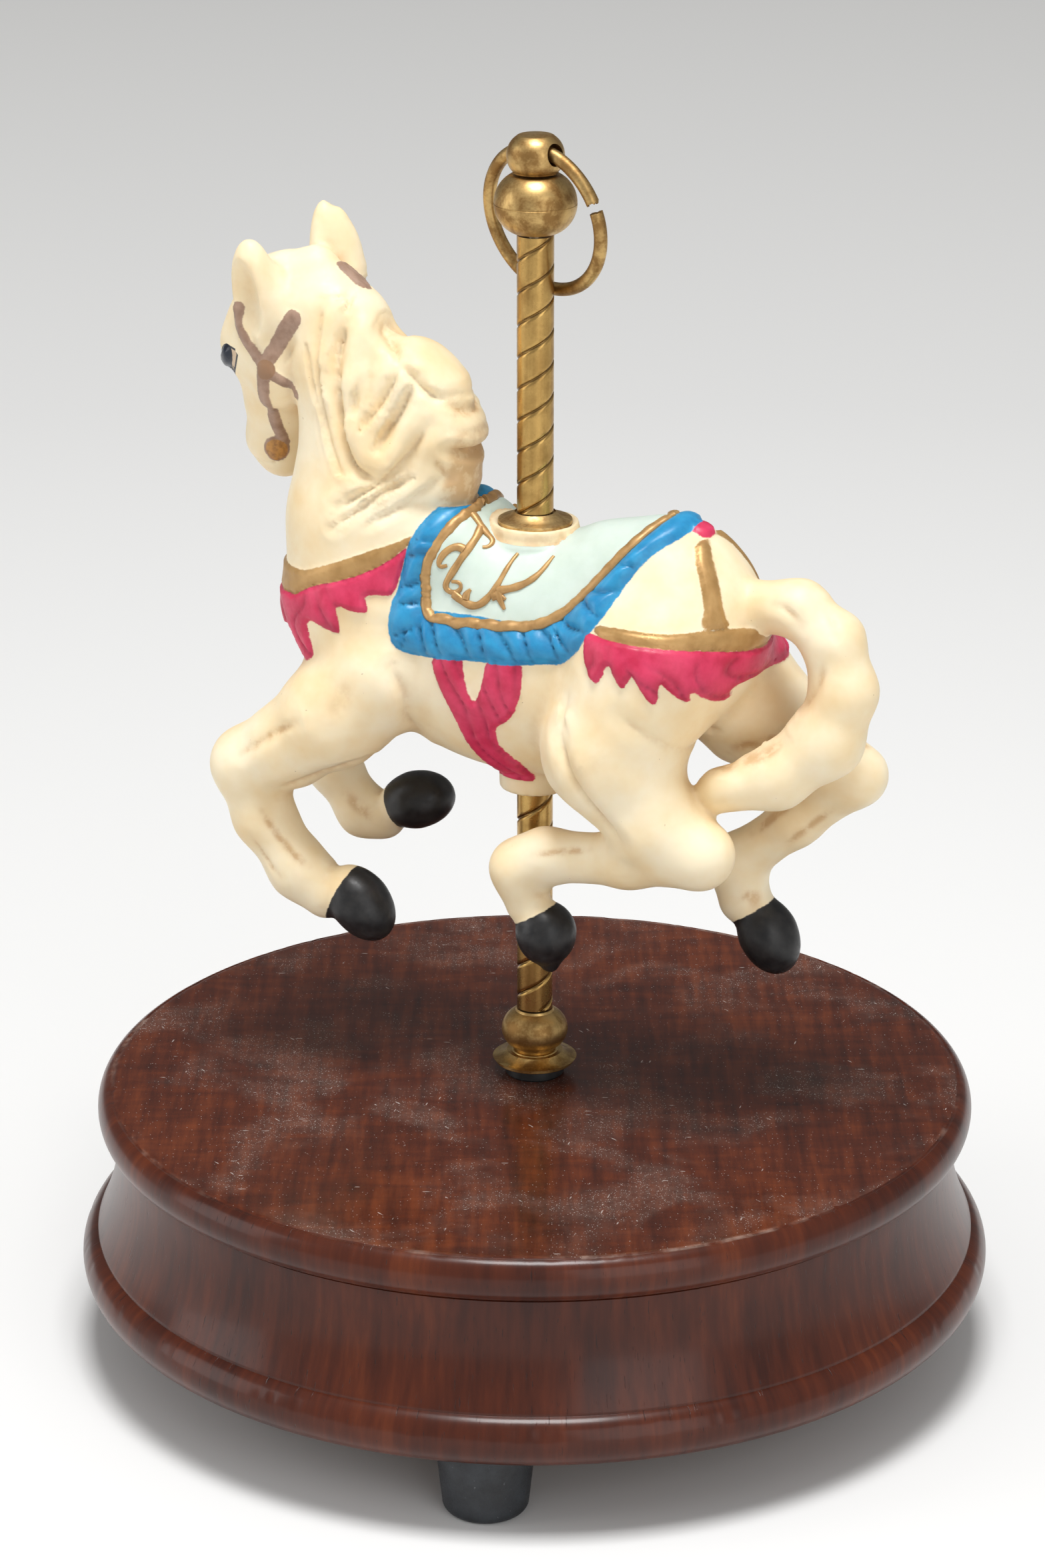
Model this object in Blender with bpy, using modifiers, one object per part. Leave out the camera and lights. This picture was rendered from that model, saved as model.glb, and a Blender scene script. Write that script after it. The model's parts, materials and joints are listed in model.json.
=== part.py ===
"""Carousel music box: a wind-up musical movement in a turned wooden base turns a bisque
porcelain horse on a brass pole with a ball finial and a loose brass ring.

Frame: origin at the centre of the base on the table, +Z up, the horse faces -X and its left
side faces -Y. Sizes below are in millimetres and are turned into metres by MM.
"""

from math import cos, pi, radians, sin, sqrt, tau

import bmesh
import bpy
from mathutils import Matrix, Vector

MM = 0.001
GAP = 0.3  # clearance between pieces that touch

# Wooden base
BASE_R = 82.5  # widest, at the lower bead
BASE_BOTTOM = 13.4
BASE_TOP = 50.3
TOP_CREASE_R = 76.4  # edge of the flat top
TOP_BEAD_R = 78.9
TOP_BEAD_HEIGHT = 7.8
COVE_LOW_Z = 23.2
COVE_FLARE_Z = 39.5  # the cove is straight above this height and flares out below it
COVE_R = 75.7
COVE_LOW_R = 79.6
CAVITY_R = 54.0
CAVITY_TOP = 41.0
HOLE_R = 5.0  # spindle bush hole in the top
COVER_R = 59.2
COVER_THICK = 3.0
COVER_SCREWS_AT_R = 56.6
KEY_HOLE_R = 4.0  # in the cover, round the winding key
BUSH_R = 5.3
BUSH_BORE_R = 3.5
BUSH_TOP = BASE_TOP + 1.9
FOOT_COUNT = 3
FOOT_AT_R = 69.4
FOOT_FIRST = -72.0  # direction of the first foot, degrees from +X
FOOT_R = 8.6
FOOT_LOW_R = 7.4
FOOT_EDGE_R = 1.6
FOOT_RECESS_R = 3.4
FOOT_RECESS_HEIGHT = 6.0
FOOT_BORE_R = 2.0

# Musical movement
PLATE_Z = BASE_BOTTOM + COVER_THICK + GAP  # underside of the bedplate
PLATE_THICK = 2.2
PLATE_SIDES = (70.0, 36.0)
PLATE_X = 15.0
PLATE_CORNER_R = 3.0
PLATE_SCREWS = ((-16.0, -14.5), (-16.0, 14.5), (46.5, -10.0))
PLATE_TOP = PLATE_Z + PLATE_THICK + GAP  # where pieces stand on the bedplate
HOUSING_R = 16.2
HOUSING_Z = PLATE_TOP
HOUSING_HEIGHT = 10.2
HOUSING_WALL = 1.2
SPRING_TURNS = 5.0
SPRING_THICK = 0.45
ARBOR_R = 1.5
DRIVE_TEETH = 60
PINION_TEETH = 12
WHEEL_TEETH = 32
GOVERNOR_PINION_TEETH = 8
GOVERNOR_TEETH = 16
CROWN_R = 18.2  # middle of the drive wheel's crown teeth
CROWN_DEPTH = 1.2
CYLINDER_R = 6.4
CYLINDER_Z = 25.7
CYLINDER_X = (22.6, 37.0)
CYLINDER_WHEEL_X = 39.5
BRACKET_HEIGHT = 9.6
COMB_TEETH = 18
COMB_Y = -15.3  # middle of the comb's screwed-down back
COMB_BACK_HALF = 2.2
COMB_THICK = 1.0
GOVERNOR_Y = 7.95
WORM_X = 45.0
WORM_Y = 13.45
WORM_STARTS = 4
WORM_LENGTH = 6.4
WORM_LEAD = 6.13

# Pole, from the base up
POLE_R = 3.175
ROD_R = 1.4
ROD_BORE_R = 1.7
FLANGE_Z = 52.7
BALL_LOW_Z = 58.9
LOWER_POLE_Z = (63.2, 104.6)
HORSE_BORE_R = 2.2
BELLY_BOSS_Z = 105.2
SADDLE_SEAT_Z = 153.6
UPPER_POLE_Z = (155.9, 204.4)
FINIAL_Z = 209.9
CAP_Z = 218.0
HOLE_AXIS_Z = 218.6
RING_HOLE_R = 1.9

# Brass ring, hanging in the cap's cross hole and leaning on the pole
RING_R = 12.6
RING_WIRE_R = 1.15
RING_AZIMUTH = radians(-18.0)
RING_TILT = radians(10.5)
RING_TOP_Z = 219.1
RING_GAP = (radians(-21.5), radians(-14.0))

COLOURS = {
    "mahogany": ((0.085, 0.016, 0.008), 0.30, 0.0),
    "board": ((0.22, 0.13, 0.07), 0.70, 0.0),
    "rubber": ((0.012, 0.013, 0.014), 0.60, 0.0),
    "bush": ((0.010, 0.010, 0.010), 0.45, 0.0),
    "steel": ((0.55, 0.55, 0.56), 0.30, 1.0),
    "blue_steel": ((0.10, 0.12, 0.18), 0.30, 1.0),
    "zinc": ((0.50, 0.50, 0.48), 0.45, 1.0),
    "brass": ((0.42, 0.29, 0.11), 0.32, 1.0),
    "bisque": ((0.93, 0.80, 0.60), 0.55, 0.0),
}


# ---------------------------------------------------------------- scene and helpers


def clear_scene():
    for obj in list(bpy.data.objects):
        bpy.data.objects.remove(obj, do_unlink=True)


def make_collection(name):
    collection = bpy.data.collections.new(name)
    bpy.context.scene.collection.children.link(collection)
    return collection


def make_material(name):
    colour, roughness, metallic = COLOURS[name]
    material = bpy.data.materials.new(name)
    material.use_nodes = True
    shader = material.node_tree.nodes["Principled BSDF"]
    shader.inputs["Base Color"].default_value = (*colour, 1.0)
    shader.inputs["Roughness"].default_value = roughness
    shader.inputs["Metallic"].default_value = metallic
    return material


clear_scene()
PARTS = make_collection("carousel_music_box")
CUTTERS = make_collection("cutters")
MATERIALS = {name: make_material(name) for name in COLOURS}


def place(obj, material=None, location=(0, 0, 0), rotation=(0, 0, 0)):
    """Links an object as a part, with its material, at a place in millimetres."""
    PARTS.objects.link(obj)
    if material:
        obj.data.materials.append(MATERIALS[material])
    obj.location = [value * MM for value in location]
    obj.rotation_euler = rotation
    return obj


def as_cutter(obj):
    for collection in obj.users_collection:
        collection.objects.unlink(obj)
    CUTTERS.objects.link(obj)
    obj.hide_render = True
    obj.display_type = "WIRE"
    return obj


def mesh_object(name, bm, smooth_angle=35.0):
    mesh = bpy.data.meshes.new(name)
    bm.to_mesh(mesh)
    bm.free()
    mesh.shade_smooth()
    mesh.set_sharp_from_angle(angle=radians(smooth_angle))
    return bpy.data.objects.new(name, mesh)


def arc(centre, radii, start, end, steps):
    """Points of an ellipse's arc in (radius, height), angles in degrees from the outside."""
    points = []
    for step in range(steps + 1):
        angle = radians(start + (end - start) * step / steps)
        points.append((centre[0] + radii[0] * cos(angle), centre[1] + radii[1] * sin(angle)))
    return points


def turned(name, profile, material, steps=32, closed=True, location=(0, 0, 0)):
    """A turned piece. The profile's outer side runs top to bottom; closed joins its ends."""
    bm = bmesh.new()
    verts = [bm.verts.new((radius * MM, 0.0, height * MM)) for radius, height in profile]
    for first, second in zip(verts, verts[1:]):
        bm.edges.new((first, second))
    if closed:
        bm.edges.new((verts[-1], verts[0]))
    obj = place(mesh_object(name, bm), material, location)
    screw = obj.modifiers.new("Turn", "SCREW")
    screw.axis = "Z"
    screw.steps = steps
    screw.render_steps = steps
    screw.use_merge_vertices = True
    screw.merge_threshold = 0.00001
    screw.use_smooth_shade = True
    return obj


def add_cone(bm, start, end, start_r, end_r, segments):
    """A cone, or a cylinder, with its axis between two points."""
    start, end = Vector(start), Vector(end)
    turn = Vector((0, 0, 1)).rotation_difference(end - start).to_matrix().to_4x4()
    bmesh.ops.create_cone(
        bm,
        cap_ends=True,
        segments=segments,
        radius1=start_r * MM,
        radius2=end_r * MM,
        depth=(end - start).length * MM,
        matrix=Matrix.Translation((start + end) / 2 * MM) @ turn,
    )


def cylinder(name, radius, low, high, material=None, segments=24, **kwargs):
    bm = bmesh.new()
    add_cone(bm, (0, 0, low), (0, 0, high), radius, radius, segments)
    return place(mesh_object(name, bm), material, **kwargs)


def box(name, size, material=None, **kwargs):
    """A block, centred on its place."""
    bm = bmesh.new()
    bmesh.ops.create_cube(bm, size=1.0)
    bmesh.ops.scale(bm, vec=[side * MM for side in size], verts=bm.verts)
    return place(mesh_object(name, bm), material, **kwargs)


def boolean(target, tool, operation="DIFFERENCE"):
    """Cuts the tool from the target, or joins it on. The tool is no piece of its own afterwards."""
    modifier = target.modifiers.new(operation.title(), "BOOLEAN")
    modifier.operation = operation
    modifier.solver = "EXACT"
    modifier.object = as_cutter(tool)
    return modifier


def outline(name, points, thickness, material=None, **kwargs):
    """A flat plate: a closed outline in XY, extruded equally up and down."""
    curve = bpy.data.curves.new(name, "CURVE")
    curve.dimensions = "2D"
    curve.fill_mode = "BOTH"
    curve.extrude = thickness / 2 * MM
    spline = curve.splines.new("POLY")
    spline.points.add(len(points) - 1)
    for target, (x, y) in zip(spline.points, points):
        target.co = (x * MM, y * MM, 0.0, 1.0)
    spline.use_cyclic_u = True
    return place(bpy.data.objects.new(name, curve), material, **kwargs)


def wire(name, points, radius, material):
    """A round wire along a list of points in millimetres."""
    curve = bpy.data.curves.new(name, "CURVE")
    curve.dimensions = "3D"
    curve.bevel_depth = radius * MM
    curve.bevel_resolution = 2
    curve.use_fill_caps = True
    spline = curve.splines.new("POLY")
    spline.points.add(len(points) - 1)
    for target, point in zip(spline.points, points):
        target.co = (*[value * MM for value in point], 1.0)
    return place(bpy.data.objects.new(name, curve), material)


def to_mesh(obj, material):
    """Replaces a curve object by its mesh, with the caps welded."""
    bpy.context.view_layer.update()
    depsgraph = bpy.context.evaluated_depsgraph_get()
    mesh = bpy.data.meshes.new_from_object(obj.evaluated_get(depsgraph))
    bm = bmesh.new()
    bm.from_mesh(mesh)
    bmesh.ops.remove_doubles(bm, verts=bm.verts, dist=0.000001)
    bm.to_mesh(mesh)
    bm.free()
    name, matrix = obj.name, obj.matrix_world.copy()
    bpy.data.objects.remove(obj, do_unlink=True)
    new = bpy.data.objects.new(name, mesh)
    PARTS.objects.link(new)
    new.matrix_world = matrix
    mesh.materials.clear()
    mesh.materials.append(MATERIALS[material])
    return new


def gear_outline(teeth, root, tip, root_share=0.42, tip_share=0.20, phase=0.0):
    """A spur gear's outline: each tooth is a trapezium on the root circle."""
    pitch = tau / teeth
    points = []
    for tooth in range(teeth):
        middle = tooth * pitch + phase
        for radius, offset in (
            (root, -root_share / 2),
            (tip, -tip_share / 2),
            (tip, tip_share / 2),
            (root, root_share / 2),
        ):
            angle = middle + offset * pitch
            points.append((radius * cos(angle), radius * sin(angle)))
    return points


def ring_of(count, radius, first=0.0):
    """Places in XY, evenly round a circle."""
    angles = [radians(first) + step * tau / count for step in range(count)]
    return [(radius * cos(angle), radius * sin(angle)) for angle in angles]


# ---------------------------------------------------------------- base, cover and feet


def base_profile():
    bead_mid = BASE_TOP - TOP_BEAD_HEIGHT / 2
    top_bead = arc((TOP_BEAD_R - 3.0, bead_mid), (3.0, TOP_BEAD_HEIGHT / 2), 80, -76, 8)
    cove = []
    cove_start = BASE_TOP - TOP_BEAD_HEIGHT - 0.6
    for step in range(6):
        height = cove_start + (COVE_LOW_Z - cove_start) * step / 5
        depth = max(0.0, (COVE_FLARE_Z - height) / (COVE_FLARE_Z - COVE_LOW_Z))
        cove.append((COVE_R + (COVE_LOW_R - COVE_R) * depth**2, height))
    low_half = (COVE_LOW_Z - 0.3 - BASE_BOTTOM) / 2
    low_bead = arc((BASE_R - 4.1, BASE_BOTTOM + low_half), (4.1, low_half), 74, -90, 8)
    inner = [
        (COVER_R + GAP, BASE_BOTTOM),
        (COVER_R + GAP, BASE_BOTTOM + COVER_THICK + GAP),
        (CAVITY_R, BASE_BOTTOM + COVER_THICK + GAP),
        (CAVITY_R, CAVITY_TOP),
        (HOLE_R, CAVITY_TOP),
    ]
    return [(HOLE_R, BASE_TOP), (TOP_CREASE_R, BASE_TOP), *top_bead[1:], *cove, *low_bead, *inner]


def screw_piece(name, head_r, head_height, shank_r, shank_length, location, material="steel"):
    """A screw driven up from below: its head's underside is at the given place."""
    profile = [
        (0.0, head_height + shank_length),
        (shank_r * 0.4, head_height + shank_length),
        (shank_r, head_height + shank_length - 1.0),
        (shank_r, head_height),
        (head_r, head_height),
        (head_r, head_height * 0.4),
        (head_r * 0.8, 0.0),
        (0.0, 0.0),
    ]
    return turned(name, profile, material, steps=12, closed=False, location=location)


def bore(target, radius, low, high, location=(0, 0, 0), segments=16):
    tool = cylinder(target.name + "_bore", radius, low, high, segments=segments, location=location)
    boolean(target, tool)


def make_base():
    """The turned wooden base with its cover, three feet, their screws and the pole's bush."""
    base = turned("wooden_base", base_profile(), "mahogany", steps=40)
    cover_screws = ring_of(3, COVER_SCREWS_AT_R, FOOT_FIRST + 60)
    feet = ring_of(FOOT_COUNT, FOOT_AT_R, FOOT_FIRST)
    for x, y in cover_screws:
        bore(base, 1.3, BASE_BOTTOM, 25.0, (x, y, 0), 12)
    for x, y in feet:
        bore(base, 1.7, BASE_BOTTOM - 1, 25.5, (x, y, 0), 12)

    cover = cylinder(
        "bottom_cover", COVER_R, BASE_BOTTOM, BASE_BOTTOM + COVER_THICK, "board", segments=40
    )
    bore(cover, KEY_HOLE_R, 10, 20)
    for index, (x, y) in enumerate(cover_screws, 1):
        bore(cover, 1.3, 10, 20, (x, y, 0), 12)
        screw_piece(f"cover_screw_{index}", 2.6, 1.3, 1.0, 11.0, (x, y, BASE_BOTTOM - 1.3 - GAP))
    for index, (x, y) in enumerate(feet, 1):
        turned(
            f"foot_{index}",
            [
                (FOOT_BORE_R, BASE_BOTTOM - GAP),
                (FOOT_R, BASE_BOTTOM - GAP),
                *arc((FOOT_LOW_R - FOOT_EDGE_R, FOOT_EDGE_R), (FOOT_EDGE_R, FOOT_EDGE_R), 0, -90, 3),
                (FOOT_RECESS_R, 0.0),
                (FOOT_RECESS_R, FOOT_RECESS_HEIGHT),
                (FOOT_BORE_R, FOOT_RECESS_HEIGHT),
            ],
            "rubber",
            steps=20,
            location=(x, y, 0),
        )
        screw_piece(f"foot_screw_{index}", 3.0, 2.0, 1.4, 17.0, (x, y, FOOT_RECESS_HEIGHT - 2.0 - GAP))
    turned(
        "pole_bush",
        [
            (BUSH_BORE_R, BUSH_TOP),
            (BUSH_R, BUSH_TOP),
            (BUSH_R, BASE_TOP + GAP),
            (HOLE_R - GAP, BASE_TOP + GAP),
            (HOLE_R - GAP, CAVITY_TOP - 1.0),
            (BUSH_BORE_R, CAVITY_TOP - 1.0),
        ],
        "bush",
        steps=24,
    )
    return cover


# ---------------------------------------------------------------- musical movement


def movement_plate(cover):
    """The bedplate that carries the whole movement, screwed on the cover."""
    half_x = PLATE_SIDES[0] / 2 - PLATE_CORNER_R
    half_y = PLATE_SIDES[1] / 2 - PLATE_CORNER_R
    centres = ((half_x, half_y), (-half_x, half_y), (-half_x, -half_y), (half_x, -half_y))
    corners = []
    for turn, centre in enumerate(centres):
        corners += arc(centre, (PLATE_CORNER_R, PLATE_CORNER_R), 90 * turn, 90 * turn + 90, 4)
    plate_mid = PLATE_Z + PLATE_THICK / 2
    plate = to_mesh(outline("bedplate", corners, PLATE_THICK, location=(PLATE_X, 0, plate_mid)), "zinc")
    bore(plate, 2.2, 10, 25)
    for index, (x, y) in enumerate(PLATE_SCREWS, 1):
        bore(cover, 1.4, 10, 20, (x, y, 0), 12)
        bore(plate, 1.4, 10, 25, (x, y, 0), 12)
        screw_piece(f"movement_screw_{index}", 2.4, 1.2, 1.1, 5.4, (x, y, BASE_BOTTOM - 1.2 - GAP))


def spring_drive():
    """The mainspring in its housing, the arbor that the key winds, the crown wheel and the spindle."""
    low, high = HOUSING_Z, HOUSING_Z + HOUSING_HEIGHT
    inside_r, floor = HOUSING_R - HOUSING_WALL, low + HOUSING_WALL
    turned(
        "spring_housing",
        [
            (inside_r, high),
            (HOUSING_R, high),
            (HOUSING_R, low),
            (2.2, low),
            (2.2, floor),
            (inside_r, floor),
        ],
        "zinc",
        steps=32,
    )
    spiral = []
    steps, first_r, last_r = 70, 2.9, inside_r - 1.1
    for step in range(steps + 1):
        share = step / steps
        radius = first_r + (last_r - first_r) * share
        angle = tau * SPRING_TURNS * share
        spiral.append((radius * cos(angle), radius * sin(angle)))
    strip(spiral, SPRING_THICK, 7.4, "mainspring", "blue_steel", floor + 0.6)

    wheel_low = high + 0.5
    wheel_high = wheel_low + 1.4
    turned(
        "spring_arbor",
        [
            (0.0, wheel_low + 0.6),
            (ARBOR_R, wheel_low + 0.6),
            (ARBOR_R, 9.4),
            (0.0, 9.4),
        ],
        "steel",
        steps=16,
        closed=False,
    )
    winding_key()

    wheel = turned(
        "drive_wheel",
        [
            (0.0, wheel_high),
            (CROWN_R + 0.7, wheel_high),
            (CROWN_R + 0.7, wheel_low),
            (ARBOR_R + GAP, wheel_low),
            (ARBOR_R + GAP, wheel_low + 1.0),
            (0.0, wheel_low + 1.0),
        ],
        "brass",
        steps=30,
        closed=False,
    )
    teeth_bm = bmesh.new()
    for tooth in range(DRIVE_TEETH):
        bmesh.ops.create_cone(
            teeth_bm,
            cap_ends=True,
            segments=4,
            radius1=0.36 * MM,
            radius2=0.55 * MM,
            depth=(CROWN_DEPTH + 0.3) * MM,
            matrix=Matrix.Rotation(tau * tooth / DRIVE_TEETH, 4, "Z")
            @ Matrix.Translation((CROWN_R * MM, 0, (wheel_low - CROWN_DEPTH / 2 + 0.15) * MM))
            @ Matrix.Rotation(pi / 4, 4, "Z"),
        )
    teeth = place(mesh_object("crown_teeth", teeth_bm))
    boolean(wheel, teeth, "UNION")

    spindle_low = wheel_high + GAP
    turned(
        "drive_spindle",
        [
            (ROD_BORE_R, 52.3),
            (3.2, 52.3),
            (3.2, spindle_low + 1.6),
            (8.0, spindle_low + 1.6),
            (8.0, spindle_low),
            (0.0, spindle_low),
            (0.0, 43.5),
            (ROD_BORE_R, 43.5),
        ],
        "steel",
        steps=24,
    )


def strip(points, thickness, height, name, material, low):
    """A flat strip standing on edge along a path in XY."""
    left, right = [], []
    for index, (x, y) in enumerate(points):
        before = Vector(points[max(index - 1, 0)])
        after = Vector(points[min(index + 1, len(points) - 1)])
        along = (after - before).normalized()
        side = Vector((-along.y, along.x)) * thickness / 2
        left.append((x + side.x, y + side.y))
        right.append((x - side.x, y - side.y))
    return outline(name, left + right[::-1], height, material, location=(0, 0, low + height / 2))


def winding_key():
    """A threaded stem with a flat two-lobed handle, screwed on the arbor's lower end."""
    stem = cylinder("winding_key", 2.6, 7.4, 12.4, "brass", segments=16)
    bore(stem, ARBOR_R + 0.25, 9.1, 14.0)
    lobes = []
    for centre, start in ((5.6, -120.0), (-5.6, 60.0)):
        for x, z in arc((centre, 4.9), (4.6, 3.7), start, start + 240.0, 10):
            lobes.append((x, z))
    handle = outline("key_handle", lobes, 1.3)
    handle = to_mesh(handle, "brass")
    handle.matrix_world = Matrix.Rotation(pi / 2, 4, "X")
    boolean(stem, handle, "UNION")
    for side in (-1, 1):
        tool = cylinder(
            "key_eye", 1.9, -3.0, 3.0, location=(side * 6.0, 0, 4.9), rotation=(pi / 2, 0, 0), segments=12
        )
        boolean(stem, tool)


def gear_on_x(name, points, thickness, material, location, spin=0.0):
    """A gear plate turned so that its axis is X."""
    gear = outline(name, points, thickness, material)
    gear = to_mesh(gear, material)
    turn = Matrix.Rotation(spin, 4, "X") @ Matrix.Rotation(pi / 2, 4, "Y")
    gear.matrix_world = Matrix.Translation([value * MM for value in location]) @ turn
    return gear


def on_x(obj, location):
    obj.rotation_euler = (0, pi / 2, 0)
    obj.location = [value * MM for value in location]
    return obj


def cylinder_train():
    """The pinned cylinder on its arbor, with the pinion that drives it and the wheel that it drives."""
    x0, x1 = CYLINDER_X
    drum = cylinder("pinned_cylinder", CYLINDER_R, x0, x1, "brass", segments=32)
    on_x(drum, (0, 0, CYLINDER_Z))
    tool = on_x(cylinder("drum_bore", 1.3, x0 - 1, x1 + 1, segments=16), (0, 0, CYLINDER_Z))
    boolean(drum, tool)

    arbor = cylinder("cylinder_arbor", 1.0, 17.1, 43.2, "steel", segments=16)
    on_x(arbor, (0, 0, CYLINDER_Z))
    pinion = gear_on_x(
        "pinion",
        gear_outline(PINION_TEETH, 2.8, 3.9, 0.40, 0.16),
        2.2,
        "steel",
        (CROWN_R, 0, CYLINDER_Z),
        pi / PINION_TEETH,
    )
    boolean(arbor, pinion, "UNION")

    wheel = gear_on_x(
        "cylinder_wheel",
        gear_outline(WHEEL_TEETH, 5.4, 6.4, 0.40, 0.18),
        1.4,
        "brass",
        (CYLINDER_WHEEL_X, 0, CYLINDER_Z),
    )
    tool = on_x(cylinder("wheel_bore", 1.3, 38, 41, segments=16), (0, 0, CYLINDER_Z))
    boolean(wheel, tool)


def cylinder_bearings():
    """Two posts on the bedplate that carry the cylinder's arbor."""
    for name, x in (("cylinder_bracket_inner", 21.2), ("cylinder_bracket_outer", 42.0)):
        middle = PLATE_TOP + BRACKET_HEIGHT / 2
        post = box(name, (1.6, 7.0, BRACKET_HEIGHT), "zinc", location=(x, 0, middle))
        tool = on_x(cylinder(name + "_bore", 1.3, x - 3, x + 3, segments=16), (0, 0, CYLINDER_Z))
        boolean(post, tool)


def music_comb():
    """A tuned steel comb whose teeth reach the cylinder from its left side."""
    x0, x1 = CYLINDER_X[0] + 0.5, CYLINDER_X[1] - 0.5
    pitch = (x1 - x0) / COMB_TEETH
    back, root, front = COMB_Y - COMB_BACK_HALF, COMB_Y + COMB_BACK_HALF, -(CYLINDER_R + 0.9)
    points = [(x0, back), (x0, root)]
    for tooth in range(COMB_TEETH):
        left = x0 + tooth * pitch + 0.12
        right = left + pitch - 0.40
        points += [(left, root), (left, front), (right, front), (right, root)]
    points += [(x1, root), (x1, back)]
    comb = to_mesh(outline("comb", points, COMB_THICK, location=(0, 0, CYLINDER_Z)), "steel")
    rest_height = CYLINDER_Z - COMB_THICK / 2 - GAP - PLATE_TOP
    rest = box(
        "comb_rest",
        (x1 - x0, 2 * COMB_BACK_HALF, rest_height),
        "zinc",
        location=((x0 + x1) / 2, COMB_Y, PLATE_TOP + rest_height / 2),
    )
    head = CYLINDER_Z + COMB_THICK / 2 + GAP
    for index, x in enumerate((x0 + 3.5, x1 - 3.5), 1):
        bore(comb, 1.35, 20, 30, (x, COMB_Y, 0), 12)
        bore(rest, 1.35, 20, 30, (x, COMB_Y, 0), 12)
        turned(
            f"comb_screw_{index}",
            [(0.0, head + 1.2), (2.0, head + 1.2), (2.0, head), (1.0, head), (1.0, 21.5), (0.0, 21.5)],
            "steel",
            steps=12,
            closed=False,
            location=(x, COMB_Y, 0),
        )


def governor():
    """The speed governor: a wheel and pinion, and a four-start worm with a two-blade fly."""
    floor = PLATE_TOP
    arbor = cylinder("governor_wheel", 0.8, 37.9, 49.6, "brass", segments=12)
    on_x(arbor, (0, GOVERNOR_Y, CYLINDER_Z))
    pinion = gear_on_x(
        "governor_pinion",
        gear_outline(GOVERNOR_PINION_TEETH, 1.15, 2.25, 0.42, 0.16),
        2.4,
        "brass",
        (CYLINDER_WHEEL_X, GOVERNOR_Y, CYLINDER_Z),
        pi / GOVERNOR_PINION_TEETH,
    )
    boolean(arbor, pinion, "UNION")
    wheel = gear_on_x(
        "governor_worm_wheel",
        gear_outline(GOVERNOR_TEETH, 3.2, 4.3, 0.36, 0.14),
        1.2,
        "brass",
        (WORM_X, GOVERNOR_Y, CYLINDER_Z),
    )
    boolean(arbor, wheel, "UNION")

    frame_y = 16.6
    frame_height = 12.0
    frame = box("governor_frame", (7.8, 1.6, frame_height), "zinc", location=(45.1, frame_y, floor + 6.0))
    arm_y = (GOVERNOR_Y - 1.8 + frame_y) / 2
    arm_length = frame_y - GOVERNOR_Y + 1.8
    for x in (41.9, 48.3):
        arm = box("governor_arm", (1.4, arm_length, 4.6), location=(x, arm_y, CYLINDER_Z))
        boolean(frame, arm, "UNION")
    for height in (0.6, frame_height - 0.6):
        shelf = box("governor_shelf", (4.0, 5.0, 1.2), location=(WORM_X, frame_y - 2.5, floor + height))
        boolean(frame, shelf, "UNION")
    for x in (41.9, 48.3):
        tool = cylinder("governor_bearing", 1.1, x - 3, x + 3, segments=12)
        boolean(frame, on_x(tool, (0, GOVERNOR_Y, CYLINDER_Z)))
    bore(frame, 0.9, floor - 1, floor + 18, (WORM_X, WORM_Y, 0), 12)

    fly = cylinder("governor_fly", 0.6, floor + 0.2, floor + 15.8, "steel", segments=12)
    fly.location = (WORM_X * MM, WORM_Y * MM, 0)
    worm_twist = tau * WORM_LENGTH / WORM_LEAD
    worm_phase = pi / WORM_STARTS - worm_twist / 2  # a gap faces the wheel at mid-height
    worm_outline = gear_outline(WORM_STARTS, 1.0, 1.9, 0.50, 0.16, worm_phase)
    worm = twisted(worm_outline, WORM_LENGTH, worm_twist, 14, "worm")
    worm.location = (WORM_X * MM, WORM_Y * MM, (CYLINDER_Z - WORM_LENGTH / 2) * MM)
    boolean(fly, worm, "UNION")
    blades = box("fly_blades", (8.4, 0.6, 2.6), location=(WORM_X, WORM_Y, floor + 13.9))
    boolean(fly, blades, "UNION")


def twisted(points, height, twist, layers, name):
    """An outline extruded upward while it turns, as a screw thread's section does."""
    bm = bmesh.new()
    rings = []
    for layer in range(layers + 1):
        share = layer / layers
        turn = Matrix.Rotation(twist * share, 2)
        ring = []
        for point in points:
            x, y = turn @ Vector(point)
            ring.append(bm.verts.new((x * MM, y * MM, height * share * MM)))
        rings.append(ring)
    count = len(points)
    for lower, upper in zip(rings, rings[1:]):
        for index in range(count):
            after = (index + 1) % count
            bm.faces.new((lower[index], lower[after], upper[after], upper[index]))
    bm.faces.new(rings[0][::-1])
    bm.faces.new(rings[-1])
    return place(mesh_object(name, bm))


# ---------------------------------------------------------------- brass stack


def pole_tube(name, low, high):
    profile = [(ROD_BORE_R, high), (POLE_R, high), (POLE_R, low), (ROD_BORE_R, low)]
    turned(name, profile, "brass", steps=20)


def pierced_ball(name, middle, centre_r, radii, high, low, steps):
    """A ball on the pole's axis. high and low are where its flat ends lie, from its middle."""
    profile = [
        (ROD_BORE_R, middle + high),
        *arc((centre_r, middle), radii, 61, -66, 7),
        (ROD_BORE_R, middle + low),
    ]
    turned(name, profile, "brass", steps=steps)


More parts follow.
